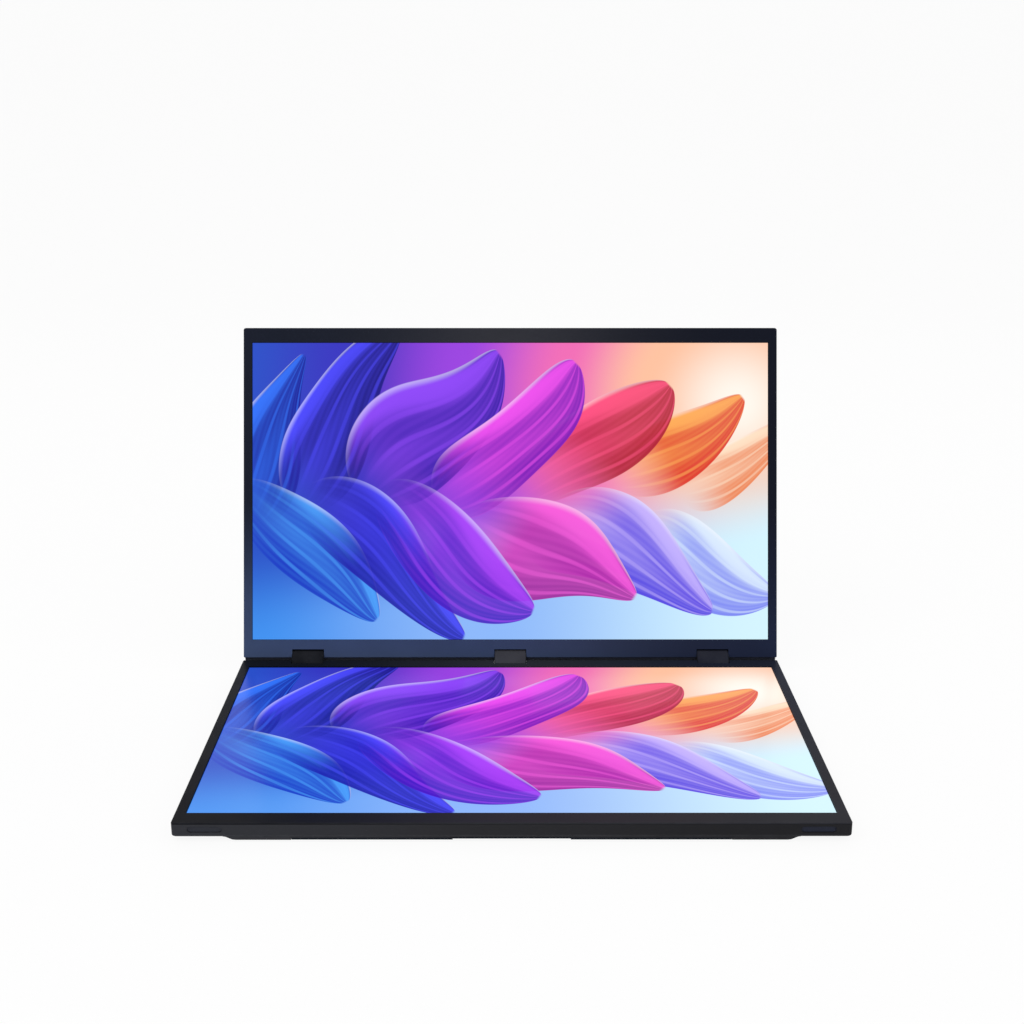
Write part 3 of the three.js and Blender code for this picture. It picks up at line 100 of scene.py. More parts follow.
class Graph:
    """A node tree with one short call for each kind of node that the finishes use."""

    def __init__(self, tree: Tree) -> None:
        """Keep the tree that the calls add to."""
        self.tree = tree

    def feed(self, socket: Socket, value: object) -> None:
        """Link a socket to an input, or set the input's own value.

        Args:
            socket: the input.
            value: a socket, a plain value, or a colour's sRGB code.
        """
        if isinstance(value, Socket):
            self.tree.links.new(value, socket)
        else:
            socket.default_value = linear(value) if isinstance(value, str) else value

    def add(self, kind: str, inputs: Optional[dict] = None, **settings: object) -> Node:
        """Add one node, set its attributes and feed its inputs.

        Args:
            kind: the node's class name in Blender.
            inputs: what goes into each input, by the input's name or number.
            settings: attributes to set on the node.

        Returns:
            The new node.
        """
        node = self.tree.nodes.new(kind)
        for key, value in settings.items():
            setattr(node, key, value)
        for key, value in (inputs or {}).items():
            self.feed(node.inputs[key], value)
        return node

    def math(self, operation: str, a: Value, b: Value = 0.0, clamp: bool = False) -> Socket:
        """Return the Math node's result, held between 0 and 1 if it is clamped."""
        settings = {"operation": operation, "use_clamp": clamp}
        return self.add("ShaderNodeMath", {0: a, 1: b}, **settings).outputs[0]

    def plus(self, a: Value, b: Value, clamp: bool = False) -> Socket:
        """Return the sum of two values."""
        return self.math("ADD", a, b, clamp)

    def minus(self, a: Value, b: Value) -> Socket:
        """Return the first value less the second."""
        return self.math("SUBTRACT", a, b)

    def times(self, a: Value, b: Value, clamp: bool = False) -> Socket:
        """Return the product of two values."""
        return self.math("MULTIPLY", a, b, clamp)

    def size(self, a: Value) -> Socket:
        """Return a value without its sign."""
        return self.math("ABSOLUTE", a)

    def vector(self, operation: str, a: Triple, b: Triple) -> Socket:
        """Return the Vector Math node's vector, or its value for a distance or a dot product."""
        node = self.add("ShaderNodeVectorMath", {0: a, 1: b}, operation=operation)
        return node.outputs[1 if operation in ("DISTANCE", "DOT_PRODUCT") else 0]

    def span(self, value: Value, start: float, end: float, low: float = 0.0,
             high: float = 1.0) -> Socket:
        """Carry a value smoothly from start and end to low and high, and hold it beyond them."""
        inputs = dict(enumerate((value, start, end, low, high)))
        return self.add("ShaderNodeMapRange", inputs, interpolation_type="SMOOTHSTEP").outputs[0]

    def mix(self, share: Value, a: object, b: object) -> Socket:
        """Return the colour between a, for a share of 0, and b, for a share of 1."""
        return self.add("ShaderNodeMix", {0: share, 6: a, 7: b}, data_type="RGBA").outputs[2]

    def ramp(self, share: Socket, stops: Sequence[tuple[float, str]]) -> Socket:
        """Colour a value by a row of stops.

        Args:
            share: value between 0 and 1.
            stops: place and sRGB code of each stop, from low to high.

        Returns:
            The colour's socket.
        """
        node = self.add("ShaderNodeValToRGB", {0: share})
        node.color_ramp.interpolation = "EASE"
        elements = node.color_ramp.elements
        while len(elements) < len(stops):
            elements.new(1.0)
        for element, (place, code) in zip(elements, stops):
            element.position = place
            element.color = linear(code)
        return node.outputs[0]

    def run(self, share: Socket, tones: Tones) -> Socket:
        """Colour a value between 0 and 1 by three tones: at its ends and in the middle."""
        return self.ramp(share, list(zip((0.0, 0.5, 1.0), tones)))

    def noise(self, at: Socket, scale: Value, detail: float = 2.0, output: str = "Fac") -> Socket:
        """Return smooth noise over a position, as a value between 0 and 1 or as a colour."""
        inputs = {"Vector": at, "Scale": scale, "Detail": detail}
        return self.add("ShaderNodeTexNoise", inputs).outputs[output]

    def cells(self, at: Socket, scale: float, randomness: float, metric: str) -> Socket:
        """Return the distance from a position to the middle of its cell, in shares of a cell."""
        inputs = {"Vector": at, "Scale": scale, "Randomness": randomness}
        return self.add("ShaderNodeTexVoronoi", inputs, distance=metric).outputs["Distance"]

    def split(self, at: Socket) -> tuple[Socket, Socket, Socket]:
        """Return the three parts of a vector."""
        return tuple(self.add("ShaderNodeSeparateXYZ", {0: at}).outputs)

    def placed(self, at: Socket, move: Triple = (0, 0, 0), turn: Triple = (0, 0, 0),
               size: Triple = (1, 1, 1), back: bool = False) -> Socket:
        """Scale, turn and move a position with a Mapping node, in that order.

        Args:
            at: position to carry over.
            move: offset added last.
            turn: turn about X, Y and Z in radians.
            size: factor along X, Y and Z.
            back: whether to undo the three instead, in the opposite order.

        Returns:
            The new position's socket.
        """
        inputs = {"Vector": at, "Location": move, "Rotation": turn, "Scale": size}
        kind = "TEXTURE" if back else "POINT"
        return self.add("ShaderNodeMapping", inputs, vector_type=kind).outputs[0]

    def group(self, tree: Tree, **inputs: object) -> Node:
        """Place a node group and feed its inputs by their names."""
        return self.add("ShaderNodeGroup", inputs, node_tree=tree)


def effect(name: str, inputs: dict[str, str], outputs: dict[str, str],
           fill: Callable[[Graph, Sockets], Sockets]) -> Tree:
    """Build a node group once and hand out the same one afterwards.

    Args:
        name: the group's name.
        inputs: kind of socket for each input: Float, Vector or Color.
        outputs: kind of socket for each output.
        fill: takes the graph and the input sockets and returns a socket for each output.

    Returns:
        The group's node tree.
    """
    if name in bpy.data.node_groups:
        return bpy.data.node_groups[name]
    tree = bpy.data.node_groups.new(name, "ShaderNodeTree")
    for way, sockets in (("INPUT", inputs), ("OUTPUT", outputs)):
        for label, kind in sockets.items():
            tree.interface.new_socket(label, in_out=way, socket_type="NodeSocket" + kind)
    graph = Graph(tree)
    entry = graph.add("NodeGroupInput")
    graph.add("NodeGroupOutput", fill(graph, {label: entry.outputs[label] for label in inputs}))
    return tree


def moulded_grain() -> Tree:
    """Fine pitted skin of moulded plastic: a height from two sizes of noise and a slow drift."""
    def fill(g: Graph, given: Sockets) -> Sockets:
        at, scale = given["Position"], given["Scale"]
        fine = g.noise(at, scale, 3.0)
        coarse = g.noise(at, g.times(scale, 0.23), 1.0)
        drift = g.noise(at, g.times(scale, 0.012))
        height = g.plus(g.times(fine, 0.7), g.times(coarse, 0.3))
        return {"Height": height, "Drift": g.span(drift, 0.3, 0.7)}
    return effect("moulded_grain", {"Position": "Vector", "Scale": "Float"},
                  {"Height": "Float", "Drift": "Float"}, fill)


def brushed_lines() -> Tree:
    """Fine parallel lines of brushed or rolled metal: two sizes of noise stretched along X."""
    def fill(g: Graph, given: Sockets) -> Sockets:
        long = g.placed(given["Position"], size=(0.02, 1.0, 1.0))
        fine = g.noise(long, given["Scale"], 4.0)
        broad = g.noise(long, g.times(given["Scale"], 0.2))
        return {"Lines": g.plus(g.times(fine, 0.6), g.times(broad, 0.4))}
    return effect("brushed_lines", {"Position": "Vector", "Scale": "Float"},
                  {"Lines": "Float"}, fill)


def settled_dust() -> Tree:
    """Sparse specks of dust: the highest peaks of a fine noise, within patches of a broad one."""
    def fill(g: Graph, given: Sockets) -> Sockets:
        specks = g.noise(given["Position"], 2600.0, 1.0)
        patches = g.noise(given["Position"], 30.0)
        share = g.times(g.span(specks, 0.72, 0.8), g.span(patches, 0.4, 0.7))
        return {"Specks": g.times(share, given["Amount"], True)}
    return effect("settled_dust", {"Position": "Vector", "Amount": "Float"},
                  {"Specks": "Float"}, fill)


def silk_leaf() -> Tree:
    """One folded leaf of the picture laid over what is below it.

    The position is carried into the leaf, where it spans -1 to 1 both ways. The width follows
    a half circle that narrows towards the tip. The share of that width gives the border and the
    run of colour, and sines of it give folds, bright streaks and strands. The leaf fades out
    towards its foot.
    """
    def fill(g: Graph, given: Sockets) -> Sockets:
        inner, rim = given["Inner"], given["Rim"]
        inside = g.placed(given["Position"], given["Centre"], given["Turn"], given["Reach"], True)
        along, aside, _ = g.split(inside)
        bow = g.math("SQRT", g.math("MAXIMUM", g.minus(1.0, g.times(along, along)), 0.002))
        share = g.math("DIVIDE", aside, g.times(bow, g.minus(1.0, g.times(along, 0.4))))

        def lines(count: float, lean: float, start: float, strength: float) -> Socket:
            """Return how much the lines show: count radians across, lean radians along."""
            wave = g.math("SINE", g.plus(g.times(share, count), g.times(along, lean)))
            return g.times(g.span(wave, start, 1.0), strength)

        body = g.mix(g.span(share, -0.9, 0.95), inner, rim)
        body = g.mix(lines(5.5, 2.4, -0.9, 0.7), body, inner)
        body = g.mix(lines(15.0, 3.1, 0.55, 0.45), body, rim)
        body = g.mix(lines(42.0, 0.0, -1.0, 0.1), body, rim)
        body = g.mix(g.times(g.span(share, 0.84, 1.0), 0.4), body, WHITE)
        border = g.times(g.span(g.size(share), 1.0, 0.975), g.span(g.size(along), 1.0, 0.97))
        fade = g.times(g.span(along, -1.0, -0.15), given["Strength"])
        return {"Color": g.mix(g.times(border, fade, True), given["Under"], body)}
    return effect(
        "silk_leaf",
        {"Position": "Vector", "Centre": "Vector", "Turn": "Vector", "Reach": "Vector",
         "Strength": "Float", "Inner": "Color", "Rim": "Color", "Under": "Color"},
        {"Color": "Color"}, fill)


def edge_polish() -> Tree:
    """Mask of chamfers and corners: faces that look neither along nor square to a direction."""
    def fill(g: Graph, given: Sockets) -> Sockets:
        facing = g.size(g.vector("DOT_PRODUCT", given["Normal"], given["Direction"]))
        bent = g.times(g.span(facing, 0.03, 0.3), g.span(facing, 0.99, 0.85))
        worn = g.span(g.noise(given["Position"], 90.0, 3.0), 0.3, 0.7, 0.4, 1.0)
        return {"Edge": g.times(bent, worn)}
    return effect("edge_polish", {"Position": "Vector", "Normal": "Vector", "Direction": "Vector"},
                  {"Edge": "Float"}, fill)


def fine_stripes() -> Tree:
    """Even stripes across X, as of conductors side by side: one wave each pitch, cut to a share."""
    def fill(g: Graph, given: Sockets) -> Sockets:
        across, _, _ = g.split(given["Position"])
        turns = g.times(g.math("DIVIDE", across, given["Pitch"]), 2 * math.pi)
        return {"Stripe": g.span(g.math("COSINE", turns), -0.1, 0.1)}
    return effect("fine_stripes", {"Position": "Vector", "Pitch": "Float"},
                  {"Stripe": "Float"}, fill)


def read_all(items: bpy.types.bpy_prop_collection, name: str, width: int) -> np.ndarray:
    """Read one attribute of all vertices or faces of a mesh.

    Args:
        items: the vertices or faces.
        name: the attribute.
        width: how many numbers each has.

    Returns:
        The numbers, one row for each.
    """
    values = np.empty(len(items) * width)
    items.foreach_get(name, values)
    return values.reshape(-1, width)


@dataclass(frozen=True)
class PanelPlane:
    """Front plane of one screen half, found from the largest face of a node.

    Args:
        centre: middle of the front face.
        up: direction that is up in the picture.
        normal: direction out of the display.
        half_width: half of the node's width.
        half_depth: half of the node's length along up.
    """

    centre: Vector
    up: Vector
    normal: Vector
    half_width: float
    half_depth: float

    @classmethod
    def of(cls, node: str) -> "PanelPlane":
        """Measure a node: the largest face gives the normal, and X crossed with it gives up.

        Args:
            node: name of the CAD node.

        Returns:
            The node's front plane.
        """
        mesh = NODES[node].data
        largest = read_all(mesh.polygons, "area", 1).argmax()
        normal = Vector(read_all(mesh.polygons, "normal", 3)[largest]).normalized()
        if normal.dot(UP - BACK) < 0:
            normal.negate()
        up = normal.cross(RIGHT)
        points = read_all(mesh.vertices, "co", 3)
        reaches = [points @ np.array(way) for way in (RIGHT, up, normal)]
        lows = [float(reach.min()) for reach in reaches]
        highs = [float(reach.max()) for reach in reaches]
        centre = RIGHT * (lows[0] + highs[0]) / 2 + up * (lows[1] + highs[1]) / 2
        half_width, half_depth = (highs[0] - lows[0]) / 2, (highs[1] - lows[1]) / 2
        return cls(centre + normal * highs[2], up, normal, half_width, half_depth)

    def flat(self, graph: Graph, at: Socket, size: float = 1.0, lift: float = 0.0) -> Socket:
        """Carry a position into the plane: X to the right, Y up, Z out of it, centred.

        Args:
            graph: the tree to work in.
            at: position in the scene.
            size: factor on the result.
            lift: how far above the centre the new origin lies, along up.

        Returns:
            The position in the plane.
        """
        turn = -math.atan2(self.up.z, self.up.y)
        origin = self.centre + self.up * lift
        along = Vector((origin.x, origin.dot(self.up), origin.dot(self.normal)))
        return graph.placed(at, -along * size, (turn, 0, 0), (size, size, size))

    def point(self, x: float, y: float, out: float) -> Vector:
        """Return the place x to the right, y up and some way out of the plane's centre."""
        return self.centre + RIGHT * x + self.up * y + self.normal * out


@dataclass(frozen=True)
class Finish:
    """A named finish that makes one material and hands out the same one afterwards."""

    name: str

    def material(self) -> bpy.types.Material:
        """Return the finish's material, built on the first call."""
        if self.name in bpy.data.materials:
            return bpy.data.materials[self.name]
        made = bpy.data.materials.new(self.name)
        made.use_nodes = True
        graph = Graph(made.node_tree)
        place = graph.add("ShaderNodeTexCoord").outputs
        self.paint(graph, made.node_tree.nodes["Principled BSDF"], place["Object"], place["Normal"])
        return made

    def paint(self, g: Graph, shader: Node, at: Socket, facing: Socket) -> None:
        """Feed the shader's inputs; each finish has its own way.

        Args:
            g: the material's tree.
            shader: its shader.
            at: position of the shaded point.
            facing: direction that the surface looks in there.
        """
        raise NotImplementedError

    def lay(self, g: Graph, shader: Node, height: Optional[Socket] = None, depth: float = 0.0,
            **inputs: object) -> None:
        """Feed the shader's inputs and emboss a height through a Bump node.

        Args:
            g: the material's tree.
            shader: its shader.
            height: height of the relief between 0 and 1, if it has one.
            depth: real height of 1, in metres.
            inputs: the shader's inputs, with underscores for the spaces in their names.
        """
        for key, value in inputs.items():
            g.feed(shader.inputs[key.replace("_", " ")], value)
        if height is not None:
            bump = g.add("ShaderNodeBump", {"Strength": 1.0, "Distance": depth, "Height": height})
            g.feed(shader.inputs["Normal"], bump.outputs[0])


@dataclass(frozen=True, kw_only=True)
class GrainedPlastic(Finish):
    """Plastic with a moulded skin, worn edges and dust over a tone that each kind mixes by place.

    Args:
        rough: mean roughness.
        uneven: how far the roughness drifts below and above its mean.
        gloss: the shader's specular level.
        grain: noise scale of the moulded skin.
        depth: height of the skin's grain.
        drift: share and sRGB code of the slow drift.
        wear: share and sRGB code of the worn edges.
        dust: share and sRGB code of the dust.
    """

    rough: float = 0.5
    uneven: tuple[float, float] = (0.02, 0.02)
    gloss: float = 0.05
    grain: float = 2200.0
    depth: float = 0.012 * MM
    drift: tuple[float, str] = (0.04, "16171b")
    wear: tuple[float, str] = (0.1, "6a6c74")
    dust: tuple[float, str] = (0.25, "9a9a98")

    def cover(self, g: Graph, shader: Node, at: Socket, facing: Socket, tone: Socket,
              level: Triple) -> None:
        """Lay drift, worn edges and dust over the tone, and emboss the grain.

        Args:
            g: the material's tree.
            shader: its shader.
            at: position that the patterns follow.
            facing: direction that the surface looks in.
            tone: colour below the rest.
            level: direction of the large faces, so that only the edges between them are worn.
        """
        skin = g.group(moulded_grain(), Position=at, Scale=self.grain).outputs
        edge = g.group(edge_polish(), Position=at, Normal=facing, Direction=level).outputs[0]
        specks = g.group(settled_dust(), Position=at, Amount=self.dust[0]).outputs[0]
        tone = g.mix(g.times(skin["Drift"], self.drift[0]), tone, self.drift[1])
        tone = g.mix(g.times(edge, self.wear[0]), tone, self.wear[1])
        tone = g.mix(specks, tone, self.dust[1])
        low, high = self.rough - self.uneven[0], self.rough + self.uneven[1]
        self.lay(g, shader, skin["Height"], self.depth, Base_Color=tone,
                 Roughness=g.span(skin["Drift"], 0.0, 1.0, low, high),
                 Specular_IOR_Level=self.gloss)


@dataclass(frozen=True)
class MouldedPlastic(GrainedPlastic):
    """Moulded plastic whose tone runs from the viewer's left to the right; where the tones differ,
    that run is painted light and shade.

    Args:
        tones: sRGB codes at the left, the middle and the right, with painted light and shade where
            they differ.
        half_width: half of the width that the tones run over.
        level: direction that its large faces look in.
    """

    tones: Tones
    half_width: float = 0.178
    level: tuple[float, float, float] = (0.0, 0.0, 1.0)

    def paint(self, g: Graph, shader: Node, at: Socket, facing: Socket) -> None:
        """Mix the tone by the place along X, which is painted light and shade where the tones
        differ, and cover it.
        """
        across, _, _ = g.split(at)
        # painted light and shade: the tone grows lighter or darker by place along X
        tone = g.run(g.span(across, -self.half_width, self.half_width), self.tones)
        self.cover(g, shader, at, facing, tone, self.level)


@dataclass(frozen=True, kw_only=True)
class BezelPlastic(GrainedPlastic):
    """Smooth bezel plastic whose tone runs along its upper and its lower edge: painted reflection
    of the studio, and a painted bluish glow from the lit lower screen at the upper screen's lower
    edge.

    Args:
        plane: the bezel's front plane.
        top: sRGB codes along the upper edge, from left to right, with painted reflection in them.
        bottom: sRGB codes along the lower edge, from left to right, with painted reflection in
            them.
        turnover: height where the lower edge's painted reflection ends, in shares of half the
            panel's depth.
    """

    plane: PanelPlane
    top: Tones
    bottom: Tones
    turnover: float
    rough: float = 0.36
    uneven: tuple[float, float] = (0.04, 0.05)
    gloss: float = 0.024
    grain: float = 3600.0
    depth: float = 0.004 * MM
    drift: tuple[float, str] = (0.08, "101218")
    wear: tuple[float, str] = (0.08, "7a7f8c")
    dust: tuple[float, str] = (0.2, "9a9a98")

    def paint(self, g: Graph, shader: Node, at: Socket, facing: Socket) -> None:
        """Mix the tones of both edges by height and cover them."""
        inside = self.plane.flat(g, at)
        across, along, _ = g.split(inside)
        half_width, half_depth = self.plane.half_width, self.plane.half_depth
        share = g.span(across, -half_width, half_width)
        rise = g.span(along, -half_depth, self.turnover * half_depth)
        # painted reflection: the bezel's tone turns lighter or bluer by place across it and up from
        # its lower edge
        tone = g.mix(rise, g.run(share, self.bottom), g.run(share, self.top))
        self.cover(g, shader, inside, facing, tone, self.plane.normal)


@dataclass(frozen=True)
class Leaf:
    """One leaf of the picture, in shares of the picture's width from its centre.

    Args:
        x: its middle to the right.
        y: its middle upwards.
        turn: direction of its tip in degrees, from the right towards the top.
        length: half of its length.
        width: half of its greatest width.
        inner: sRGB code of its folds.
        rim: sRGB code at its lit edge.
        strength: how much it covers.
    """

    x: float
    y: float
    turn: float
    length: float
    width: float
    inner: str
    rim: str
    strength: float = 0.95

    def over(self, g: Graph, spot: Socket, under: Socket) -> Socket:
        """Lay the leaf over a picture.

        Args:
            g: the tree to work in.
            spot: position in the picture.
            under: colour of what is below the leaf.

        Returns:
            The colour's socket.
        """
        return g.group(
            silk_leaf(), Position=spot, Centre=(self.x, self.y, 0.0),
            Turn=(0.0, 0.0, math.radians(self.turn)), Reach=(self.length, self.width, 1.0),
            Strength=self.strength, Inner=self.inner, Rim=self.rim, Under=under).outputs[0]


LEAVES = (
    Leaf(-0.450, 0.110, 62, 0.18, 0.070, "040e96", "2f74ff"),
    Leaf(0.450, 0.060, 28, 0.15, 0.060, "ee8450", "ffe2c4"),
    Leaf(-0.310, 0.130, 55, 0.19, 0.075, "0a0380", "4a46ff"),
    Leaf(0.310, 0.100, 34, 0.18, 0.075, "de2206", "ffab4e"),
    Leaf(-0.160, 0.120, 49, 0.19, 0.078, "2806a6", "8f45fa"),
    Leaf(0.160, 0.110, 39, 0.19, 0.080, "b00030", "ff4a7e"),
    Leaf(0.000, 0.120, 44, 0.19, 0.080, "7a06b8", "f04cf0"),
    Leaf(0.400, -0.140, -18, 0.17, 0.070, "6f76f2", "dcebff", 0.9),
    Leaf(-0.400, -0.110, -42, 0.20, 0.075, "0636c4", "4aa4ff"),
    Leaf(0.240, -0.130, -23, 0.19, 0.078, "4a2ee0", "c4b0ff"),
    Leaf(-0.240, -0.120, -37, 0.21, 0.080, "1004a8", "4644ff"),
    Leaf(0.080, -0.125, -28, 0.20, 0.080, "a0089a", "fa58dc"),
    Leaf(-0.080, -0.120, -32, 0.21, 0.082, "4208c0", "a840fa"),
)


@dataclass(frozen=True)
class Backdrop:
    """Backdrop of the picture: rings of colour round a glow, and a slanted band below them.

    Args:
        glow_spot: place of the glow, in shares of the picture's width from its centre.
        rings: distance from the glow and sRGB code of each ring.
        band: place from the left to the right and sRGB code of each of the band's colours.
        slope: how far the band rises over the picture's width.
        band_top: height where the band begins to show in the middle.
        band_full: height where it hides the rings there.
        bend_scale: noise scale of the slow noise that bends the leaves before the backdrop.
        bend: how far that noise pushes them.
    """

    glow_spot: tuple[float, float, float] = (0.44, 0.17, 0.0)
    rings: tuple[tuple[float, str], ...] = (
        (0.0, "fffaf0"), (0.18, "ffc2a0"), (0.34, "f26cb6"), (0.54, "9a40e0"), (0.76, "3430c0"),
        (1.0, "2050c8"))
    band: tuple[tuple[float, str], ...] = ((0.0, "3c90f0"), (0.45, "8cb8fa"), (1.0, "d4f4ff"))
    slope: float = 0.2
    band_top: float = 0.0
    band_full: float = -0.2
    bend_scale: float = 2.6
    bend: float = 0.2

    def colour(self, g: Graph, spot: Socket) -> Socket:
        """Lay the band over the rings.

        Args:
            g: the tree to work in.
            spot: position in shares of the picture's width, from its centre.

        Returns:
            The colour's socket.
        """
        across, along, _ = g.split(spot)
        rings = g.ramp(g.vector("DISTANCE", spot, self.glow_spot), self.rings)
        band = g.ramp(g.plus(across, 0.5), self.band)
        height = g.minus(along, g.times(across, self.slope))
        return g.mix(g.span(height, self.band_top, self.band_full), rings, band)

    def bent(self, g: Graph, spot: Socket) -> Socket:
        """Push a position about by the slow noise.

        Args:
            g: the tree to work in.
            spot: position in the picture.

        Returns:
            The new position's socket.
        """
        noise = g.noise(spot, self.bend_scale, 0.0, "Color")
        push = g.vector("SUBTRACT", noise, (0.5, 0.5, 0.5))
        return g.vector("ADD", spot, g.vector("MULTIPLY", push, (self.bend, self.bend, 0.0)))


@dataclass(frozen=True)
class LitDisplay(Finish):
    """Dark display glass with a lit picture of silky leaves inside its black border.

    Args:
        plane: the glass's front plane.
        hinge_at_top: whether the hinge side is the picture's upper side.
        side_border: black border at the sides and the free edge.
        driver_border: black border at the hinge side.
    """

    plane: PanelPlane
    hinge_at_top: bool
    side_border: float = 2.4 * MM
    driver_border: float = 3.2 * MM

    def paint(self, g: Graph, shader: Node, at: Socket, facing: Socket) -> None:
        """Lay the leaves over the backdrop, cut the picture to its area and let it shine."""
        half_width = self.plane.half_width - self.side_border
        half_height = self.plane.half_depth - (self.side_border + self.driver_border) / 2
        lift = (self.driver_border - self.side_border) / 2 * (-1 if self.hinge_at_top else 1)
        spot = self.plane.flat(g, at, 0.5 / half_width, lift)
        spot = g.vector("MULTIPLY", spot, (1.0, 1.0, 0.0))
        backdrop = Backdrop()
        picture, bent = backdrop.colour(g, spot), backdrop.bent(g, spot)
        for leaf in LEAVES:
            picture = leaf.over(g, bent, picture)
        across, along, _ = g.split(spot)
        wide = g.math("LESS_THAN", g.size(across), 0.5)
        tall = g.math("LESS_THAN", g.size(along), half_height / half_width / 2)
        smear = g.noise(at, 14.0, 3.0)
        self.lay(g, shader, Base_Color=g.mix(smear, "06070a", "0b0c11"),
                 Roughness=g.span(smear, 0.3, 0.7, 0.2, 0.28), Specular_IOR_Level=0.15,
                 Emission_Color=g.mix(g.times(wide, tall), BLACK, picture), Emission_Strength=1.0)


@dataclass(frozen=True)
class Metal(Finish):
    """Rolled, cast or brushed metal with fine lines along X and slight stains.

    Args:
        tone: sRGB code of the metal.
        worn: sRGB code that the lines run to.
        metal: the shader's metallic value.
        rough: mean roughness.
        scale: noise scale across the lines.
        gloss: the shader's specular level.
    """

    tone: str
    worn: str
    metal: float = 1.0
    rough: float = 0.35
    scale: float = 2500.0
    gloss: float = 0.5

    def paint(self, g: Graph, shader: Node, at: Socket, facing: Socket) -> None:
        """Run the tone and the roughness along the lines and dull some patches."""
        lines = g.group(brushed_lines(), Position=at, Scale=self.scale).outputs[0]
        stain = g.span(g.noise(at, 60.0, 3.0), 0.35, 0.65)
        streak = g.times(g.minus(lines, 0.5), 0.2)
        dull = g.plus(g.times(stain, 0.08), self.rough - 0.04)
        self.lay(g, shader, lines, 0.002 * MM, Base_Color=g.mix(lines, self.tone, self.worn),
                 Roughness=g.plus(streak, dull, True), Metallic=self.metal,
                 Specular_IOR_Level=self.gloss)


@dataclass(frozen=True)
class Rubber(Finish):
    """Matt rubber with fine ribs across its length and a little dust in them.

    Args:
        pitch: distance from rib to rib.
    """

    pitch: float = 1.2 * MM

    def paint(self, g: Graph, shader: Node, at: Socket, facing: Socket) -> None:
        """Emboss the ribs and the skin together and dust the hollows."""
        turned = g.placed(at, turn=(0, 0, QUARTER_TURN))
        ribs = g.group(fine_stripes(), Position=turned, Pitch=self.pitch).outputs[0]
        skin = g.group(moulded_grain(), Position=at, Scale=1800.0).outputs
        tone = g.mix(skin["Drift"], "131315", "1e1e21")
        tone = g.mix(g.times(g.minus(1.0, ribs), 0.12), tone, "6b6a66")
        height = g.plus(g.times(ribs, 0.8), g.times(skin["Height"], 0.2))
        self.lay(g, shader, height, 0.08 * MM, Base_Color=tone,
                 Roughness=g.span(skin["Height"], 0.2, 0.8, 0.8, 0.95), Specular_IOR_Level=0.25)


@dataclass(frozen=True)
class Laminate(Finish):
    """Circuit board: lacquer over copper tracks that step from cell to cell, with bare pads.

    Args:
        lacquer: sRGB code of the lacquer.
        scale: noise scale of the cells.
    """

    lacquer: str = "10392c"
    scale: float = 420.0

    def paint(self, g: Graph, shader: Node, at: Socket, facing: Socket) -> None:
        """Draw tracks at the borders of square cells and bare pads at their centres."""
        reach = g.cells(at, self.scale, 1.0, "CHEBYCHEV")
        track, pad = g.span(reach, 0.42, 0.5), g.span(reach, 0.12, 0.09)
        tone = g.mix(g.times(track, 0.5), self.lacquer, "2b6a4c")
        self.lay(g, shader, track, 0.03 * MM, Base_Color=g.mix(pad, tone, "c9a24a"),
                 Metallic=g.times(pad, 0.9), Roughness=g.span(track, 0.0, 1.0, 0.42, 0.3))


@dataclass(frozen=True)
class LightPlate(Finish):
    """Milky acrylic with a grid of fine printed dots that throw the light forward.

    Args:
        scale: noise scale of the dots.
        scatter: how far the dots stray from their grid.
    """

    scale: float = 700.0
    scatter: float = 0.15

    def paint(self, g: Graph, shader: Node, at: Socket, facing: Socket) -> None:
        """Print the dots from small round cells over a faintly uneven milky tone."""
        dot = g.span(g.cells(at, self.scale, self.scatter, "EUCLIDEAN"), 0.32, 0.26)
        milk = g.mix(g.noise(at, 25.0), "cfd8e0", "e4ebf0")
        self.lay(g, shader, dot, 0.02 * MM, Base_Color=g.mix(dot, milk, WHITE),
                 Roughness=g.span(dot, 0.0, 1.0, 0.18, 0.6))


@dataclass(frozen=True)
class LampRow(Finish):
    """White strip board with yellow lamp windows at an even pitch.

    Args:
        pitch: distance from lamp to lamp.
    """

    pitch: float

    def paint(self, g: Graph, shader: Node, at: Socket, facing: Socket) -> None:
        """Tint a window in the middle of each pitch and speckle the white lacquer."""
        shifted = g.placed(at, move=(self.pitch / 2, 0, 0))
        window = g.group(fine_stripes(), Position=shifted, Pitch=self.pitch).outputs[0]
        speck = g.noise(at, 900.0)
        lacquer = g.mix(speck, "d8d8d2", "f0f0ea")
        self.lay(g, shader, Base_Color=g.mix(window, lacquer, "e8c84a"),
                 Roughness=g.span(speck, 0.3, 0.7, 0.35, 0.5))


@dataclass(frozen=True)
class FlatCable(Finish):
    """Amber film over copper conductors side by side.

    Args:
        pitch: distance from conductor to conductor.
    """

    pitch: float = 0.5 * MM

    def paint(self, g: Graph, shader: Node, at: Socket, facing: Socket) -> None:
        """Stripe the film by its conductors and raise each a little."""
        wires = g.group(fine_stripes(), Position=at, Pitch=self.pitch).outputs[0]
        film = g.mix(g.noise(at, 120.0), "8f5417", "b06e24")
        self.lay(g, shader, wires, 0.02 * MM, Base_Color=g.mix(g.times(wires, 0.6), film, "d69a4e"),
                 Roughness=g.span(wires, 0.0, 1.0, 0.45, 0.3))


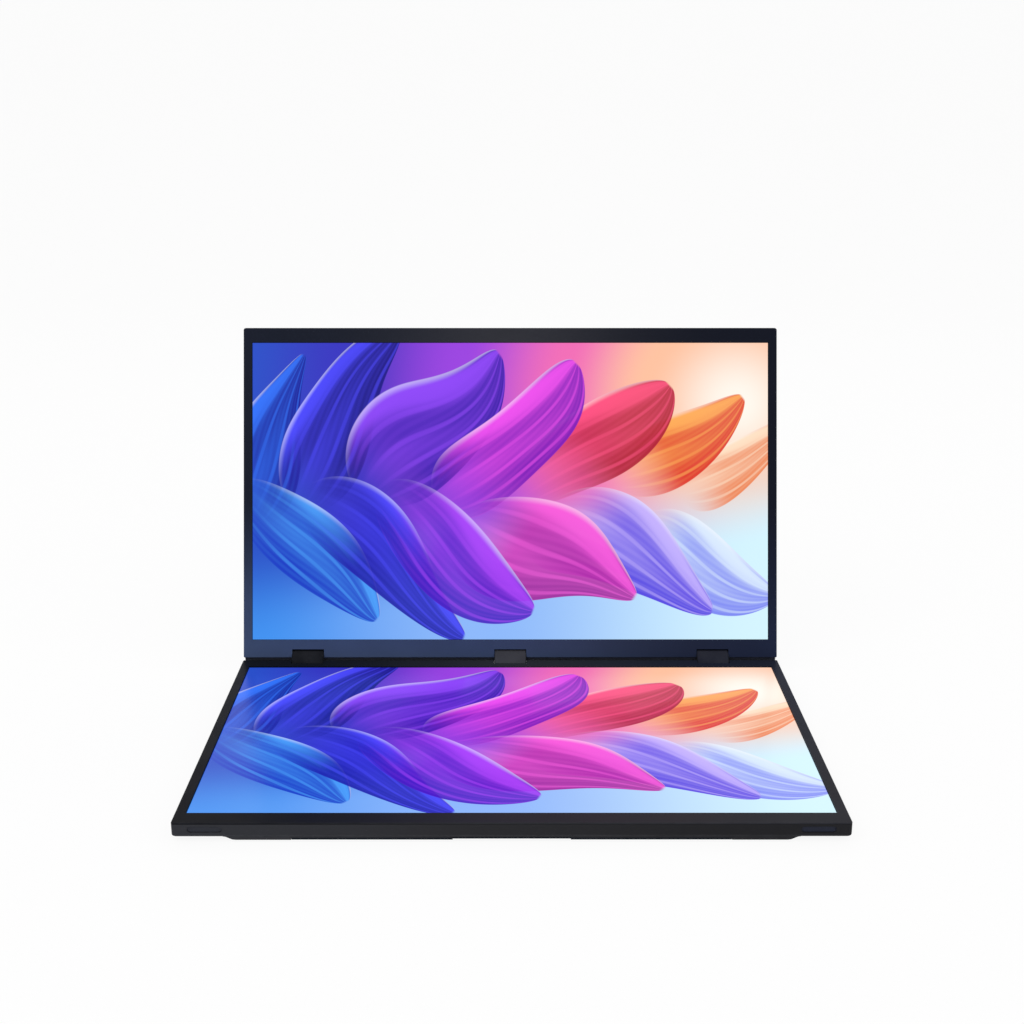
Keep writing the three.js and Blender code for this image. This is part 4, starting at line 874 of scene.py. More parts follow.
@dataclass(frozen=True)
class Weave(Finish):
    """Fine woven or perforated screen: two crossed waves darken the openings.

    Args:
        thread: sRGB code of the threads.
        gap: sRGB code of the openings.
        pitch: distance from thread to thread.
        level: whether the weave lies flat, or else stands upright.
    """

    thread: str
    gap: str
    pitch: float
    level: bool = False

    def paint(self, g: Graph, shader: Node, at: Socket, facing: Socket) -> None:
        """Cross a stripe along X with one along the other way of the weave."""
        other = (0, 0, QUARTER_TURN) if self.level else (0, QUARTER_TURN, 0)
        first, second = (g.group(fine_stripes(), Position=spot, Pitch=self.pitch).outputs[0]
                         for spot in (at, g.placed(at, turn=other)))
        cloth = g.math("MAXIMUM", first, second)
        self.lay(g, shader, cloth, 0.08 * MM, Base_Color=g.mix(cloth, self.gap, self.thread),
                 Roughness=g.span(cloth, 0.0, 1.0, 0.9, 0.6), Specular_IOR_Level=0.2)


@dataclass(frozen=True)
class Lamp(Finish):
    """Small frosted lens with a soft glow that varies a little.

    Args:
        glow: sRGB code of the light.
        strength: the shader's emission strength.
    """

    glow: str
    strength: float = 0.35

    def paint(self, g: Graph, shader: Node, at: Socket, facing: Socket) -> None:
        """Grain the lens and let its colour vary a little in the glow."""
        frost = g.noise(at, 4000.0)
        self.lay(g, shader, Base_Color=g.mix(frost, self.glow, "e8f0ff"),
                 Roughness=g.span(frost, 0.2, 0.8, 0.25, 0.4),
                 Emission_Color=g.mix(frost, self.glow, WHITE), Emission_Strength=self.strength)


def dress(finish: Finish, *names: str) -> None:
    """Give CAD nodes their finish.

    Args:
        finish: what they are made of.
        names: names of the nodes.
    """
    for name in names:
        node = NODES[name]
        if not node.material_slots:
            node.data.materials.append(None)
        for slot in node.material_slots:
            slot.material = finish.material()
        LOG.info("%s dressed in %s", name, finish.name)


def surface(name: str, points: np.ndarray) -> bpy.types.Object:
    """Turn grids of points into one mesh object with closed seams and poles and faces outwards.

    Each grid's neighbouring rows and columns make quadrilaterals, all indexed as whole arrays.

    Args:
        name: the piece's name.
        points: places as rows by columns by 3, or several such grids stacked in front.

    Returns:
        The new object, at the origin.
    """
    rows, columns = points.shape[-3:-1]
    stack = points.reshape(-1, rows, columns, 3)
    first = (np.arange(rows - 1)[:, None] * columns + np.arange(columns - 1)).ravel()
    quads = np.stack([first, first + 1, first + columns + 1, first + columns], axis=1)
    starts = np.arange(len(stack)) * rows * columns
    faces = (quads[None] + starts[:, None, None]).reshape(-1, 4)
    mesh = bpy.data.meshes.new(name)
    mesh.from_pydata(stack.reshape(-1, 3).tolist(), [], faces.tolist())
    work = bmesh.new()
    work.from_mesh(mesh)
    bmesh.ops.remove_doubles(work, verts=work.verts, dist=0.0001 * MM)
    bmesh.ops.dissolve_degenerate(work, edges=work.edges, dist=0.0001 * MM)
    bmesh.ops.recalc_face_normals(work, faces=work.faces)
    work.to_mesh(mesh)
    work.free()
    mesh.polygons.foreach_set("use_smooth", np.ones(len(mesh.polygons), bool))
    piece = bpy.data.objects.new(name, mesh)
    bpy.context.scene.collection.objects.link(piece)
    return piece


def mounted(name: str, points: np.ndarray, finish: Finish, body: str,
            wall: float = 0.0) -> None:
    """Make a new piece and give it its finish and the body that it rides on.

    Args:
        name: the piece's name.
        points: its grids of points, in place.
        finish: what it is made of.
        body: the CAD body that carries it.
        wall: thickness of an open sheet, the same to both sides.
    """
    piece = surface(name, points)
    if wall:
        sheet = piece.modifiers.new("thickness", "SOLIDIFY")
        sheet.thickness = wall
        sheet.offset = 0.0
    piece.data.materials.append(finish.material())
    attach(piece, body)
    LOG.info("%s built with %d faces, rides on %s", name, len(piece.data.polygons), body)


def carried(points: np.ndarray, spots: Sequence[Vector], right: Vector, out: Vector) -> np.ndarray:
    """Put a shape at several places: its x along right, its z along out, its y square to both.

    Args:
        points: the shape as rows by columns by 3, in its own axes.
        spots: where its origin goes.
        right: direction of its x.
        out: direction of its z.

    Returns:
        One grid for each spot, stacked.
    """
    axes = np.array([right, out.cross(right), out])
    return np.array([np.array(spot) for spot in spots])[:, None, None, :] + (points @ axes)[None]


def domed(half_x: float, half_y: float, rise: float, sink: float = 0.0, square: float = 2.0,
          rows: int = 9, columns: int = 33) -> np.ndarray:
    """Work out a flat-bottomed dome, closed all round.

    The outline is a superellipse: cosine and sine of the angle, each to the power 2 / square.
    The height falls with the fourth power of the distance share, then the wall drops straight
    and the bottom closes on its middle.

    Args:
        half_x: half of its length.
        half_y: half of its width.
        rise: height of its crown above the seat.
        sink: depth of its foot below the seat.
        square: 2 gives an ellipse, larger values a squarer outline.
        rows: number of rings over the dome.
        columns: points round each ring, the last on the first.

    Returns:
        Places as rows by columns by 3.
    """
    angle = np.linspace(0, 2 * np.pi, columns)
    cosine, sine = np.cos(angle), np.sin(angle)
    outline_x = half_x * np.sign(cosine) * np.abs(cosine) ** (2 / square)
    outline_y = half_y * np.sign(sine) * np.abs(sine) ** (2 / square)
    share = np.concatenate([np.linspace(0, 1, rows), [1, 0]])
    height = np.concatenate([rise * (1 - np.linspace(0, 1, rows) ** 4), [-sink, -sink]])
    return np.stack([share[:, None] * outline_x, share[:, None] * outline_y,
                     np.repeat(height[:, None], columns, axis=1)], axis=2)


def cross_head(radius: float, rise: float) -> np.ndarray:
    """Work out a low screw head with a cross recess.

    It is a round dome whose height is lowered where the point lies within half a slot's width
    of one axis and within the slot's length along the other, with a soft step at each border.

    Args:
        radius: radius of the head.
        rise: height of its crown above the seat.

    Returns:
        Places as rows by columns by 3.
    """
    head = domed(radius, radius, rise, rows=15, columns=49)
    across, along = np.abs(head[..., 0]) / radius, np.abs(head[..., 1]) / radius
    slot_half, slot_reach, step = 0.13, 0.6, 0.08

    def inside(value: np.ndarray, limit: float) -> np.ndarray:
        """Return 1 below the limit and 0 above it, with a ramp of one step between."""
        return np.clip((limit - value) / step + 0.5, 0, 1)

    slot = np.maximum(inside(across, slot_half) * inside(along, slot_reach),
                      inside(across, slot_reach) * inside(along, slot_half))
    top = np.arange(len(head))[:, None] < len(head) - 2
    head[..., 2] -= np.where(top, slot * rise * 1.1, 0)
    return head


def bent_bar(radius: float, start: float, end: float, thick: float, rows: int = 25,
             columns: int = 9) -> np.ndarray:
    """Work out a round bar bent to an arc, closed by round ends.

    The angle runs evenly from start to end. The bar's own radius follows the root of 1 less
    the 16th power of the share along the arc, so that it falls to 0 at both ends.

    Args:
        radius: radius of the arc.
        start: first angle in radians.
        end: last angle in radians.
        thick: radius of the bar.
        rows: points along the arc.
        columns: points round the bar, the last on the first.

    Returns:
        Places as rows by columns by 3.
    """
    share = np.linspace(-1, 1, rows)
    angle = (start + end) / 2 + share * (end - start) / 2
    own = thick * np.sqrt(np.clip(1 - np.abs(share) ** 16, 0, 1))
    turn = np.linspace(0, 2 * np.pi, columns)
    reach = radius + own[:, None] * np.cos(turn)
    height = own[:, None] * np.sin(turn)
    return np.stack([reach * np.cos(angle)[:, None], reach * np.sin(angle)[:, None], height],
                    axis=2)


def woven_sheet(half_x: float, half_y: float, pitch: float, round_end: bool = False,
                columns: int = 65, rows: int = 41, wave: float = 0.03 * MM) -> np.ndarray:
    """Work out a thin woven sheet: a flat outline whose height is the product of two waves.

    With round ends the width at each place along the length is that of a stadium: full up to
    the end circles and the circle's own height beyond.

    Args:
        half_x: half of its length.
        half_y: half of its width.
        pitch: length of a wave.
        round_end: whether its ends are half circles.
        columns: points along.
        rows: points across.
        wave: height of the waves.

    Returns:
        Places as rows by columns by 3.
    """
    along = np.linspace(-half_x, half_x, columns)
    beyond = np.clip(np.abs(along) - (half_x - half_y), 0, half_y) if round_end else 0 * along
    reach = np.sqrt(np.clip(half_y ** 2 - beyond ** 2, (0.02 * half_y) ** 2, None))
    across = np.linspace(-1, 1, rows)[:, None] * reach
    spread = np.repeat(along[None], rows, axis=0)
    height = wave * np.sin(2 * np.pi * spread / pitch) * np.sin(2 * np.pi * across / pitch)
    return np.stack([spread, across, height], axis=2)


STEEL = Metal("pin_steel", "8d9096", "b4b7bd", rough=0.3)
SCREW_STEEL = Metal("blackened_screw", "26272b", "44464c", rough=0.38, scale=4000.0)
TRAY_SHEET = Metal("tray_sheet", "8e9197", "adb0b5", rough=0.42, scale=900.0)
GOLD = Metal("contact_gold", "c8973a", "e6bf62", rough=0.25)
FILM = FlatCable("flat_cable_film")


class Half(Enum):
    """The two screens, by the start of their nodes' names."""

    LOWER = "lower"
    UPPER = "upper"


class SubAssembly:
    """A sub-assembly that finishes its CAD nodes and may add small pieces of its own."""

    def dress(self) -> None:
        """Finish the CAD nodes."""
        raise NotImplementedError

    def build(self) -> None:
        """Add the small pieces."""
        raise NotImplementedError


@dataclass
class ScreenHalf(SubAssembly):
    """One flat screen: bezel, display, backlight, housing and the screws of its brackets.

    Args:
        half: which screen.
        bezel_top_with_reflection: bezel tones along its upper edge in the picture, from left to
            right, with painted reflection in them.
        bezel_bottom_with_reflection: bezel tones along its lower edge, with painted reflection in
            them.
        housing: housing tones from left to right; on the lower screen the run, lighter on the left
            and darker on the right, is painted light and shade.
        turnover: height where the lower edge's painted reflection ends, in shares of half the
            panel's depth.
        lamp_pitch: distance from lamp to lamp.
        bracket_sheet: thickness of the brackets' feet.
        bracket_back: from a bracket's far end to its screws.
        screw_spread: from a bracket's middle to a screw.
        screw_radius: radius of a screw head.
        screw_rise: height of a screw head.
    """

    half: Half
    bezel_top_with_reflection: Tones
    bezel_bottom_with_reflection: Tones
    housing: Tones
    turnover: float = 1.0
    lamp_pitch: float = 17.21 * MM
    bracket_sheet: float = 0.8 * MM
    bracket_back: float = 7.5 * MM
    screw_spread: float = 6.1 * MM
    screw_radius: float = 1.9 * MM
    screw_rise: float = 0.4 * MM

    def node(self, part: str) -> str:
        """Return the full name of one of this screen's nodes."""
        return f"{self.half.value}_{part}"

    def dress(self) -> None:
        """Finish every CAD node of this screen."""
        glass = PanelPlane.of(self.node("lcd_panel"))
        front = PanelPlane.of(self.node("front_frame"))
        finishes = {
            # the bezel's tones hold painted reflection of the studio and of the lit screens
            "front_frame": BezelPlastic(
                self.node("bezel_plastic"), plane=front, top=self.bezel_top_with_reflection,
                bottom=self.bezel_bottom_with_reflection, turnover=self.turnover),
            "lcd_panel": LitDisplay(self.node("lit_display"), glass, self.half is Half.LOWER),
            # the lower housing's tone, lighter on the left and darker on the right, is painted
            # light and shade
            "rear_cover": MouldedPlastic(
                self.node("housing_plastic"), self.housing, level=tuple(front.normal)),
            "light_guide": LightPlate("light_guide_acrylic"),
            "led_strip": LampRow("lamp_strip_board", self.lamp_pitch),
            "backlight_tray": TRAY_SHEET,
            "driver_board": Laminate("driver_board_laminate"),
            "ribbon": FILM,
            "hinge_bracket_left": STEEL,
            "hinge_bracket_right": STEEL,
        }
        for part, finish in finishes.items():
            dress(finish, self.node(part))

    def build(self) -> None:
        """Set two screws into the foot of each bracket."""
        away = -1 if self.half is Half.LOWER else 1
        spots, out = [], UP
        for side in SIDES:
            name = self.node(f"hinge_bracket_{side}")
            plane = PanelPlane.of(name)
            out = plane.normal
            points = np.array([out.dot(vertex.co) for vertex in NODES[name].data.vertices])
            drop = float(points.min() - points.max()) + self.bracket_sheet + CLEAR
            along = away * (plane.half_depth - self.bracket_back)
            spots += [plane.point(way * self.screw_spread, along, drop) for way in SIGNS]
        shapes = carried(cross_head(self.screw_radius, self.screw_rise), spots, RIGHT, out)
        mounted(self.node("bracket_screws"), shapes, SCREW_STEEL, self.node("screen"))


@dataclass
class HingeSet(SubAssembly):
    """The three links between the screens with their pins, their cable and thin side shims.

    Args:
        block_tones_and_shade: sRGB codes of the links from left to right: their dark paint with
            painted light and shade, darkest at the left and lightest in the middle.
        shim_length: length of a shim, between the two pins.
        shim_width: width of a shim.
        shim_sheet: thickness of a shim, less than the gap beside a link.
        shim_crown: how much of that thickness is its crown.
        link_half: half of a link's width.
        link_lean: how far the links rise from the desk towards the back, in degrees.
    """

    # painted light and shade: the left link darkest, the middle one lightest
    block_tones_and_shade: Tones = ("04060c", "38393f", "171a28")
    shim_length: float = 7.0 * MM
    shim_width: float = 4.1 * MM
    shim_sheet: float = 0.2 * MM
    shim_crown: float = 0.02 * MM
    link_half: float = 10.4 * MM
    link_lean: float = 36.65

    def dress(self) -> None:
        """Finish the links, the pins and the cable."""
        # painted light and shade: the links' tone runs by place along X
        link = MouldedPlastic(
            "link_paint", self.block_tones_and_shade, half_width=0.16, rough=0.42, gloss=0.03, grain=3000.0)
        dress(link, *LINKS)
        dress(STEEL, *(f"{half.value}_hinge_pin_{side}" for half in Half for side in SIDES))
        dress(FILM, "link_ribbon")

    def build(self) -> None:
        """Lay a dark nylon shim on both sides of each link, between its pins; the shims also fill
        the gaps beside the links with a dark sheet where there is shade.
        """
        lean = math.radians(self.link_lean)
        along = Vector((0, math.cos(lean), math.sin(lean)))
        seat = self.shim_sheet - self.shim_crown
        shim = domed(self.shim_length / 2, self.shim_width / 2, self.shim_crown, seat, 8.0)
        shapes = []
        for name in LINKS:
            low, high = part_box(name)
            for way in SIGNS:
                out = RIGHT * way
                spot = (low + high) / 2 + out * (self.link_half + seat)
                shapes.append(carried(shim, [spot], along, out))
        # the dark shims also stand in for the shade in the gaps beside the links
        nylon = MouldedPlastic("shim_nylon", ("101117",) * 3, rough=0.55, grain=4200.0)
        mounted("link_side_shims", np.concatenate(shapes), nylon, "hinge_links")


@dataclass
class Kickstand(SubAssembly):
    """The slim folding stand under the lower screen, its pins and brackets and its two grips.

    Args:
        grip_length: length of a grip.
        grip_width: width of a grip.
        grip_rise: how far a grip stands out of the plate.
        grip_spread: from the middle of the stand to a grip's middle.
        grip_inset: from the stand's free edge to a grip's middle.
        grip_pitch: distance from rib to rib of the grips.
    """

    grip_length: float = 46.0 * MM
    grip_width: float = 5.0 * MM
    grip_rise: float = 0.09 * MM
    grip_spread: float = 82.0 * MM
    grip_inset: float = 9.0 * MM
    grip_pitch: float = 0.9 * MM

    def dress(self) -> None:
        """Finish the plate, the pins and the brackets."""
        plate = Metal("stand_aluminium", "12151b", "1f242d", 0.3, 0.45, 1800.0, 0.08)
        dress(plate, "kickstand_plate")
        dress(STEEL, *(f"kickstand_{kind}_{side}" for kind in ("pin", "bracket") for side in SIDES))

    def build(self) -> None:
        """Lay the two grips under the stand, near its free edge."""
        low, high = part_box("kickstand_plate")
        middle = (low.x + high.x) / 2
        spots = [Vector((middle + way * self.grip_spread, low.y + self.grip_inset, low.z))
                 for way in SIGNS]
        pad = domed(self.grip_length / 2, self.grip_width / 2, self.grip_rise, square=6.0)
        rubber = Rubber("grip_rubber", self.grip_pitch)
        mounted("kickstand_grips", carried(pad, spots, RIGHT, -UP), rubber, "kickstand")


@dataclass
class Underside(SubAssembly):
    """What shows under the lower screen: feet, case screws and the dust screen of the vents.

    Args:
        pan_drop: how far the raised pan stands below the flat underside.
        foot_proud: how far a foot stands below the pan.
        screw_radius: radius of a case screw's head.
        screw_rise: how far a head stands out.
        side_inset: from the housing's side to the outer screws.
        end_inset: from the housing's front and hinge edge to the screws there.
        rear_spread: from the middle to the two screws at the hinge edge.
        floor: thickness of the pan's floor.
        lift: how far the dust screen lies above that floor.
        vent_length: length of the cooling slots.
        vent_lap: how far the dust screen reaches past the slots' ends.
        vent_bays: from the main board's inner end to both ends of each bay between the ribs.
        vent_back: from the main board's front end to the far end of the slots.
        wave_pitch: length of the dust screen's waves.
        thread_pitch: distance from thread to thread of the dust screen.
        sheet: thickness of the dust screen.
    """

    pan_drop: float = 2.35 * MM
    foot_proud: float = 0.8 * MM
    screw_radius: float = 2.1 * MM
    screw_rise: float = 0.35 * MM
    side_inset: float = 13.5 * MM
    end_inset: float = 12.0 * MM
    rear_spread: float = 70.0 * MM
    floor: float = 0.9 * MM
    lift: float = 0.1 * MM
    vent_length: float = 22.0 * MM
    vent_lap: float = 1.0 * MM
    vent_bays: tuple[tuple[float, float], ...] = (
        (-0.6 * MM, 22.4 * MM), (23.9 * MM, 47.4 * MM), (48.9 * MM, 67.8 * MM))
    vent_back: float = 11.0 * MM
    wave_pitch: float = 1.6 * MM
    thread_pitch: float = 0.8 * MM
    sheet: float = 0.08 * MM

    def dress(self) -> None:
        """Finish the four feet."""
        rubber = Rubber("foot_rubber")
        dress(rubber, *(f"foot_{end}_{side}" for end in ("front", "rear") for side in SIDES))

    def build(self) -> None:
        """Drive the case screws and stretch the dust screen over the slots."""
        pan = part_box("foot_front_left")[0].z + self.foot_proud
        self.drive_screws(pan + self.pan_drop)
        self.stretch_screen(pan + self.floor + self.lift)

    def drive_screws(self, flat: float) -> None:
        """Set three screws along each side and two at the hinge edge.

        Args:
            flat: height of the flat underside.
        """
        low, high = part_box("lower_rear_cover")
        outer = high.x - self.side_inset
        depths = (low.y + self.end_inset, (low.y + high.y) / 2, high.y - self.end_inset)
        places = [(way * outer, depth) for way in SIGNS for depth in depths]
        places += [(way * self.rear_spread, high.y - self.end_inset / 2) for way in SIGNS]
        spots = [Vector((x, y, flat)) for x, y in places]
        shapes = carried(cross_head(self.screw_radius, self.screw_rise), spots, RIGHT, -UP)
        mounted("case_screws", shapes, SCREW_STEEL, "lower_screen")

    def stretch_screen(self, level: float) -> None:
        """Lay a woven screen on the pan's floor over the cooling slots, one sheet for each bay.

        Args:
            level: height of the screen.
        """
        low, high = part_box("main_board")
        depth = low.y + self.vent_back + self.vent_length / 2
        half_y = self.vent_length / 2 + self.vent_lap
        bays = []
        for start, end in self.vent_bays:
            middle = Vector((high.x - (start + end) / 2, depth, level))
            sheet = woven_sheet((end - start) / 2, half_y, self.wave_pitch)
            bays.append(carried(sheet, [middle], RIGHT, UP))
        weave = Weave("dust_screen_weave", "2a2b2f", "0a0a0c", self.thread_pitch, True)
        mounted("vent_dust_screen", np.concatenate(bays), weave, "lower_screen",
                self.sheet)


@dataclass
class SocketRow(SubAssembly):
    """The sockets on the viewer's left with their contacts, and the boards.

    Args:
        tongues: each socket with a tongue, its number of contacts a side and their pitch.
        tongue: thickness of a tongue.
        tongue_start: from a socket's mouth to its tongue's end.
        pad_inset: from a tongue's end to its contacts.
        pad_length: length of a contact.
        pad_width: width of a contact.
        pad_rise: how far a contact stands out.
    """

    tongues: tuple[tuple[str, int, float], ...] = (
        ("usb_c_socket_rear", 12, 0.5 * MM), ("usb_c_socket_front", 12, 0.5 * MM),
        ("mini_hdmi_socket", 10, 0.7 * MM))
    tongue: float = 0.7 * MM
    tongue_start: float = 0.6 * MM
    pad_inset: float = 0.2 * MM
    pad_length: float = 2.4 * MM
    pad_width: float = 0.26 * MM
    pad_rise: float = 0.03 * MM

    def dress(self) -> None:
        """Finish the sockets, the jack, the boards and the shield."""
        shell = Metal("socket_shell", "9a9ca1", "c0c2c6", rough=0.28)
        dress(shell, *(name for name, _, _ in self.tongues))
        dress(MouldedPlastic("jack_plastic", ("1b1b1e",) * 3, rough=0.45), "audio_jack")
        dress(Laminate("main_board_laminate"), "main_board", "button_board")
        dress(TRAY_SHEET, "board_shield")

    def build(self) -> None:
        """Lay a row of contacts on both sides of each tongue."""
        pad = domed(self.pad_length / 2, self.pad_width / 2, self.pad_rise, 0.0, 5.0, 5, 17)
        for name, count, pitch in self.tongues:
            low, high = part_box(name)
            middle = (low + high) / 2
            x = low.x + self.tongue_start + self.pad_length / 2 + self.pad_inset
            offsets = (np.arange(count) - (count - 1) / 2) * pitch
            rows = []
            for way in SIGNS:
                z = middle.z + way * self.tongue / 2
                spots = [Vector((x, middle.y + offset, z)) for offset in offsets]
                rows.append(carried(pad, spots, RIGHT, UP * way))
            mounted(name + "_contacts", np.concatenate(rows), GOLD, "lower_screen")


@dataclass
class ButtonRow(SubAssembly):
    """The three buttons on the viewer's right with their plain marks and the status lamp.

    Args:
        ring: radius of the power mark's ring.
        line: half the thickness of a mark's lines.
        gap: first and last angle of the ring, in degrees.
        shift: from a mark's middle to its outer bars, in shares of the ring's radius.
        lamp_radius: radius of the lamp's lens.
        lamp_rise: how far the lens stands out.
        lamp_sink: how far the lens reaches into the wall.
        lamp_step: from the power button's middle to the lamp.
    """

    ring: float = 0.62 * MM
    line: float = 0.09 * MM
    gap: tuple[float, float] = (130.0, 410.0)
    shift: float = 0.7
    lamp_radius: float = 0.55 * MM
    lamp_rise: float = 0.06 * MM
    lamp_sink: float = 0.2 * MM
    lamp_step: float = 8.5 * MM

    def dress(self) -> None:
        """Finish the buttons."""
        plastic = MouldedPlastic(
            "button_plastic", ("1d1d20",) * 3, rough=0.34, gloss=0.4, grain=4200.0)
        dress(plastic, "power_button", "menu_button", "select_button")

    def mark(self, name: str, shape: np.ndarray, button: str, *shifts: float) -> None:
        """Raise a mark's shape on the outer face of a button.

        Args:
            name: the mark's name.
            shape: the shape as rows by columns by 3.
            button: the button.
            shifts: how far up each copy of the shape stands, in shares of the ring's radius.
        """
        paint = MouldedPlastic("mark_paint", ("8c8f96",) * 3, rough=0.5)
        spots = [self.face(button) + UP * self.ring * shift for shift in shifts]
        mounted(name, carried(shape, spots, BACK, RIGHT), paint, button)

    def face(self, button: str) -> Vector:
        """Return the middle of a button's outer face."""
        low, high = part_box(button)
        return Vector((high.x, (low.y + high.y) / 2, (low.z + high.z) / 2))

    def build(self) -> None:
        """Mark the caps with a ring and bar, three bars and a dot, and set the lamp in the wall."""
        half = self.ring / 2
        ring = bent_bar(self.ring, *(math.radians(angle) for angle in self.gap), self.line)
        stem = domed(self.line, half, self.line, 0.0, 3.0, 5, 25)
        bar = domed(self.ring, self.line, self.line, 0.0, 5.0, 5, 25)
        dot = domed(half, half, self.line, 0.0, 2.0, 5, 25)
        self.mark("power_mark_ring", ring, "power_button", 0.0)
        self.mark("power_mark_stem", stem, "power_button", self.shift)
        self.mark("menu_mark", bar, "menu_button", -self.shift, 0.0, self.shift)
        self.mark("select_mark", dot, "select_button", 0.0)
        lens = domed(self.lamp_radius, self.lamp_radius, self.lamp_rise, self.lamp_sink)
        spot = self.face("power_button") + BACK * self.lamp_step
        mounted("status_lamp", carried(lens, [spot], BACK, RIGHT),
                Lamp("status_lamp_lens", "9fc8ff"), "lower_screen")


@dataclass
class SpeakerPair(SubAssembly):
    """The two slim speakers and the woven screens in their sound slots.

    Args:
        slot_length: length of a sound slot.
        slot_height: height of a sound slot.
        set_back: from the housing's front face to the screen.
        gap: clearance round the screen.
        wave_pitch: length of the screen's waves.
        thread_pitch: distance from thread to thread.
        sheet: thickness of the screen.
        lit_and_shaded_weaves: side and sRGB codes of the threads and of the openings of each
            screen; the left one lighter and the right one darker and bluer, as painted light and
            shade.
    """

    slot_length: float = 18.5 * MM
    slot_height: float = 3.5 * MM
    set_back: float = 0.75 * MM
    gap: float = 0.06 * MM
    wave_pitch: float = 0.8 * MM
    thread_pitch: float = 0.5 * MM
    sheet: float = 0.08 * MM
    # painted light and shade: the left screen's tones are lighter, the right one's darker and bluer
    lit_and_shaded_weaves: tuple[Tones, ...] = (("left", "353740", "22242c"), ("right", "272b3b", "151926"))

    def dress(self) -> None:
        """Finish the speakers."""
        plastic = MouldedPlastic("speaker_plastic", ("1b1b1e",) * 3, rough=0.7)
        dress(plastic, "speaker_left", "speaker_right")

    def build(self) -> None:
        """Stretch a woven screen into each slot, behind the front face."""
        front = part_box("lower_rear_cover")[0].y + self.set_back
        half_x, half_y = self.slot_length / 2 - self.gap, self.slot_height / 2 - self.gap
        sheet = woven_sheet(half_x, half_y, self.wave_pitch, True, 161)
        for side, thread, gap in self.lit_and_shaded_weaves:
            low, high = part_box(f"speaker_{side}")
            spot = Vector(((low.x + high.x) / 2, front, (low.z + high.z) / 2))
            # painted light and shade: each side's weave gets its own lighter or darker tones
            weave = Weave(f"speaker_weave_lit_and_shaded_{side}", thread, gap, self.thread_pitch)
            mounted(f"speaker_screen_{side}", carried(sheet, [spot], RIGHT, -BACK), weave,
                    "lower_screen", self.sheet)


def seen_ray(graph: Graph) -> Socket:
    """Return 1 for what the eye, a gloss or a glass sees and 0 for what only lights the object."""
    path = graph.add("ShaderNodeLightPath").outputs
    seen = graph.math("MAXIMUM", path["Is Camera Ray"], path["Is Glossy Ray"])
    return graph.math("MAXIMUM", seen, path["Is Transmission Ray"])


@dataclass(frozen=True)
class SoftLamp:
    """One soft rectangular lamp that looks at the middle of the object.

    Args:
        name: its name.
        spot: where it hangs.
        size: its width and height.
        power: its power in watts.
    """

    name: str
    spot: tuple[float, float, float]
    size: tuple[float, float]
    power: float

    def hang(self) -> None:
        """Add the lamp to the scene."""
        data = bpy.data.lights.new(self.name, "AREA")
        data.shape = "RECTANGLE"
        data.size, data.size_y = self.size
        data.energy = self.power
        lamp = bpy.data.objects.new(self.name, data)
        lamp.location = self.spot
        aim = (CAD_BOX[0] + CAD_BOX[1]) / 2 - Vector(self.spot)
        lamp.rotation_euler = aim.to_track_quat("-Z", "Y").to_euler()
        bpy.context.scene.collection.objects.link(lamp)


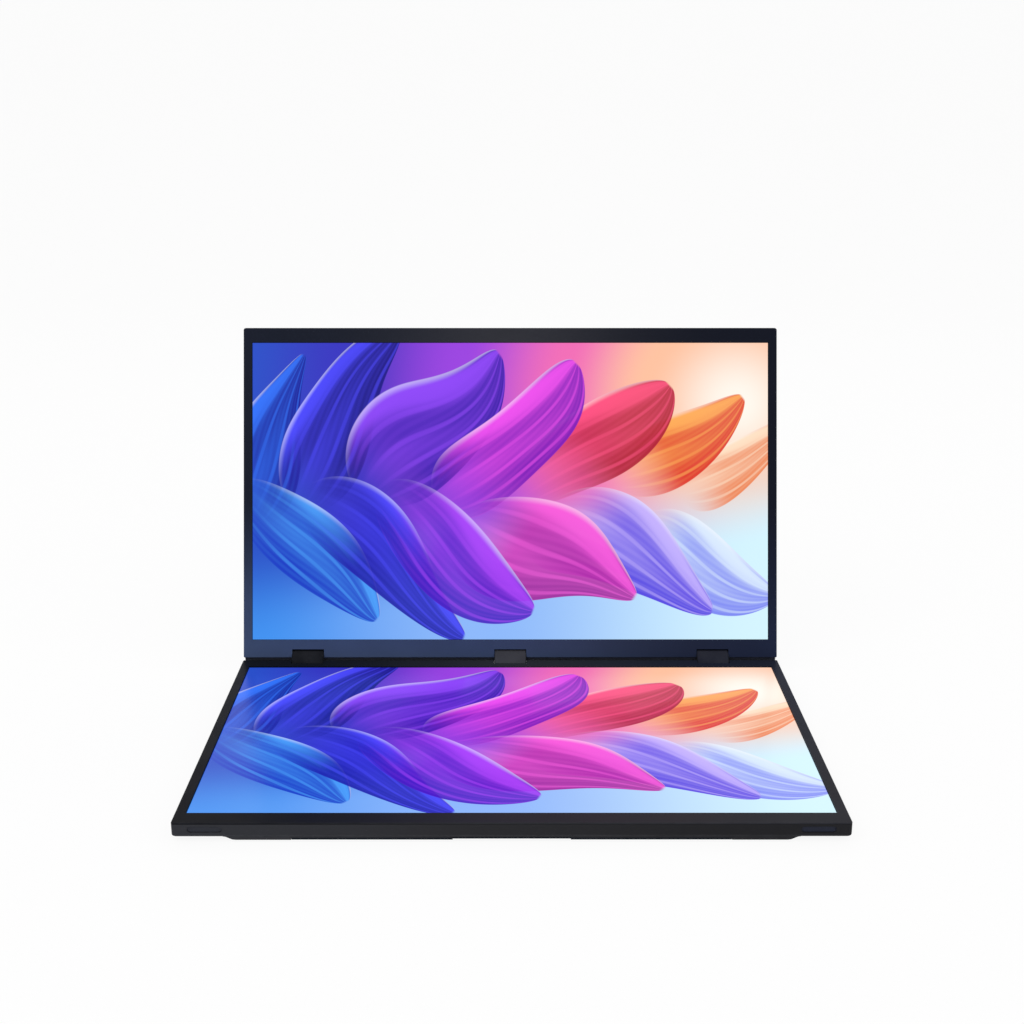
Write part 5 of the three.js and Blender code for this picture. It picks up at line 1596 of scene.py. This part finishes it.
@dataclass
class Studio:
    """Pale floor that runs up into a backdrop, soft lamps, a white surround and the camera.

    Args:
        lamps: the soft lamps.
        reach: half of the floor's width.
        flat_end: how far behind the object the floor stays flat.
        sweep: radius of the curve up to the backdrop.
        height: height of the backdrop.
        image_width: width of the photograph in pixels.
        focal: focal length in pixels.
        axis_x: pixel column of the optical axis.
        sensor: width of the camera's sensor in millimetres.
        clip: nearest and farthest distance that the camera sees.
        eye: place of the camera.
        pitch: how far the camera looks down, in degrees.
        yaw: how far it looks to the right, in degrees.
        ambient: strength of the surround as a light.
        whiteness: share of plain white in what the eye sees of the floor.
    """

    lamps: tuple[SoftLamp, ...] = (
        SoftLamp("key_lamp", (-0.9, -0.9, 1.5), (1.2, 0.9), 9.0),
        SoftLamp("fill_lamp", (1.3, -0.5, 1.1), (1.0, 1.0), 4.5),
        SoftLamp("back_lamp", (0.1, 1.3, 1.4), (1.6, 0.6), 5.0))
    reach: float = 4.0
    flat_end: float = 1.6
    sweep: float = 1.0
    height: float = 3.0
    image_width: float = 1024.0
    focal: float = 1445.5
    axis_x: float = 506.3
    sensor: float = 36.0
    clip: tuple[float, float] = (0.01, 50.0)
    eye: tuple[float, float, float] = (-0.0033, -0.8198, 0.38355)
    pitch: float = 16.74
    yaw: float = 0.04
    ambient: float = 0.62
    whiteness: float = 0.91

    def build(self) -> None:
        """Lay the floor, hang the lamps, light the surround and set the camera."""
        self.lay_floor()
        for lamp in self.lamps:
            lamp.hang()
        self.light_surround()
        self.set_camera()

    def lay_floor(self) -> None:
        """Carry a profile along X: flat, then a quarter circle, then straight up."""
        turn = np.linspace(0, QUARTER_TURN, 17)
        wall = self.flat_end + self.sweep
        depth = np.concatenate([[-self.reach], self.flat_end + self.sweep * np.sin(turn), [wall]])
        rise = np.concatenate([[0], self.sweep * (1 - np.cos(turn)), [self.height]])
        across = np.array([self.reach, -self.reach])
        points = np.stack([np.repeat(across[None], len(depth), 0),
                           np.repeat(depth[:, None], 2, 1), np.repeat(rise[:, None], 2, 1)], axis=2)
        floor = surface("studio_floor", points)
        floor.data.materials.append(self.paper())

    def paper(self) -> bpy.types.Material:
        """Make the floor's pale paper, most of it plain white to the eye but for the shadow."""
        material = bpy.data.materials.new("studio_paper")
        material.use_nodes = True
        nodes = material.node_tree.nodes
        graph = Graph(material.node_tree)
        cloud = graph.noise(graph.add("ShaderNodeTexCoord").outputs["Object"], 1.3)
        shader = nodes["Principled BSDF"]
        for name, value in (("Base Color", graph.mix(cloud, "f6f6f6", "fafafa")),
                            ("Roughness", 0.95), ("Specular IOR Level", 0.0)):
            graph.feed(shader.inputs[name], value)
        blank = graph.add("ShaderNodeEmission", {"Color": WHITE})
        share = graph.times(seen_ray(graph), self.whiteness)
        inputs = {0: share, 1: shader.outputs[0], 2: blank.outputs[0]}
        blend = graph.add("ShaderNodeMixShader", inputs)
        graph.feed(nodes["Material Output"].inputs["Surface"], blend.outputs[0])
        return material

    def light_surround(self) -> None:
        """Make the surround plain white to the eye, to gloss and to glass, and dim as a light."""
        world = bpy.data.worlds.new("studio_surround")
        world.use_nodes = True
        graph = Graph(world.node_tree)
        backing = world.node_tree.nodes["Background"].inputs
        graph.feed(backing["Color"], WHITE)
        graph.feed(backing["Strength"], graph.span(seen_ray(graph), 0.0, 1.0, self.ambient, 1.0))
        bpy.context.scene.world = world

    def set_camera(self) -> None:
        """Stand the camera at the photograph's place, with its focal length and optical axis."""
        data = bpy.data.cameras.new("photo_camera")
        data.sensor_width = self.sensor
        data.lens = self.focal / self.image_width * self.sensor
        data.shift_x = 0.5 - self.axis_x / self.image_width
        data.clip_start, data.clip_end = self.clip
        camera = bpy.data.objects.new("photo_camera", data)
        camera.location = self.eye
        camera.rotation_euler = (math.radians(90 - self.pitch), 0, -math.radians(self.yaw))
        bpy.context.scene.collection.objects.link(camera)
        bpy.context.scene.camera = camera
        bpy.context.scene.view_settings.view_transform = "Standard"


def main() -> None:
    """Set up the studio, then finish and build each sub-assembly in turn."""
    logging.basicConfig(level=logging.INFO, format="%(name)s: %(message)s")
    Studio().build()
    # painted reflection in the bezel tones; the lower housing's tones, lighter on the left and
    # darker on the right, are painted light and shade
    lower = ScreenHalf(
        Half.LOWER, bezel_top_with_reflection=("15181f", "2d2f34", "202432"),
        bezel_bottom_with_reflection=("121216", "292a2d", "2b2b30"), housing=("35363b", "2c2c2f", "242427"))
    # painted reflection: the upper bezel's bluish lower edge is a painted glow from the lit lower
    # screen
    upper = ScreenHalf(
        Half.UPPER, bezel_top_with_reflection=("1d212d", "34353b", "171a25"),
        bezel_bottom_with_reflection=("435272", "3b4a68", "212941"), housing=("292b36",) * 3, turnover=0.0)
    for assembly in (lower, upper, HingeSet(), Kickstand(), Underside(), SocketRow(), ButtonRow(),
                     SpeakerPair()):
        assembly.dress()
        assembly.build()


if __name__ == "__main__":
    main()
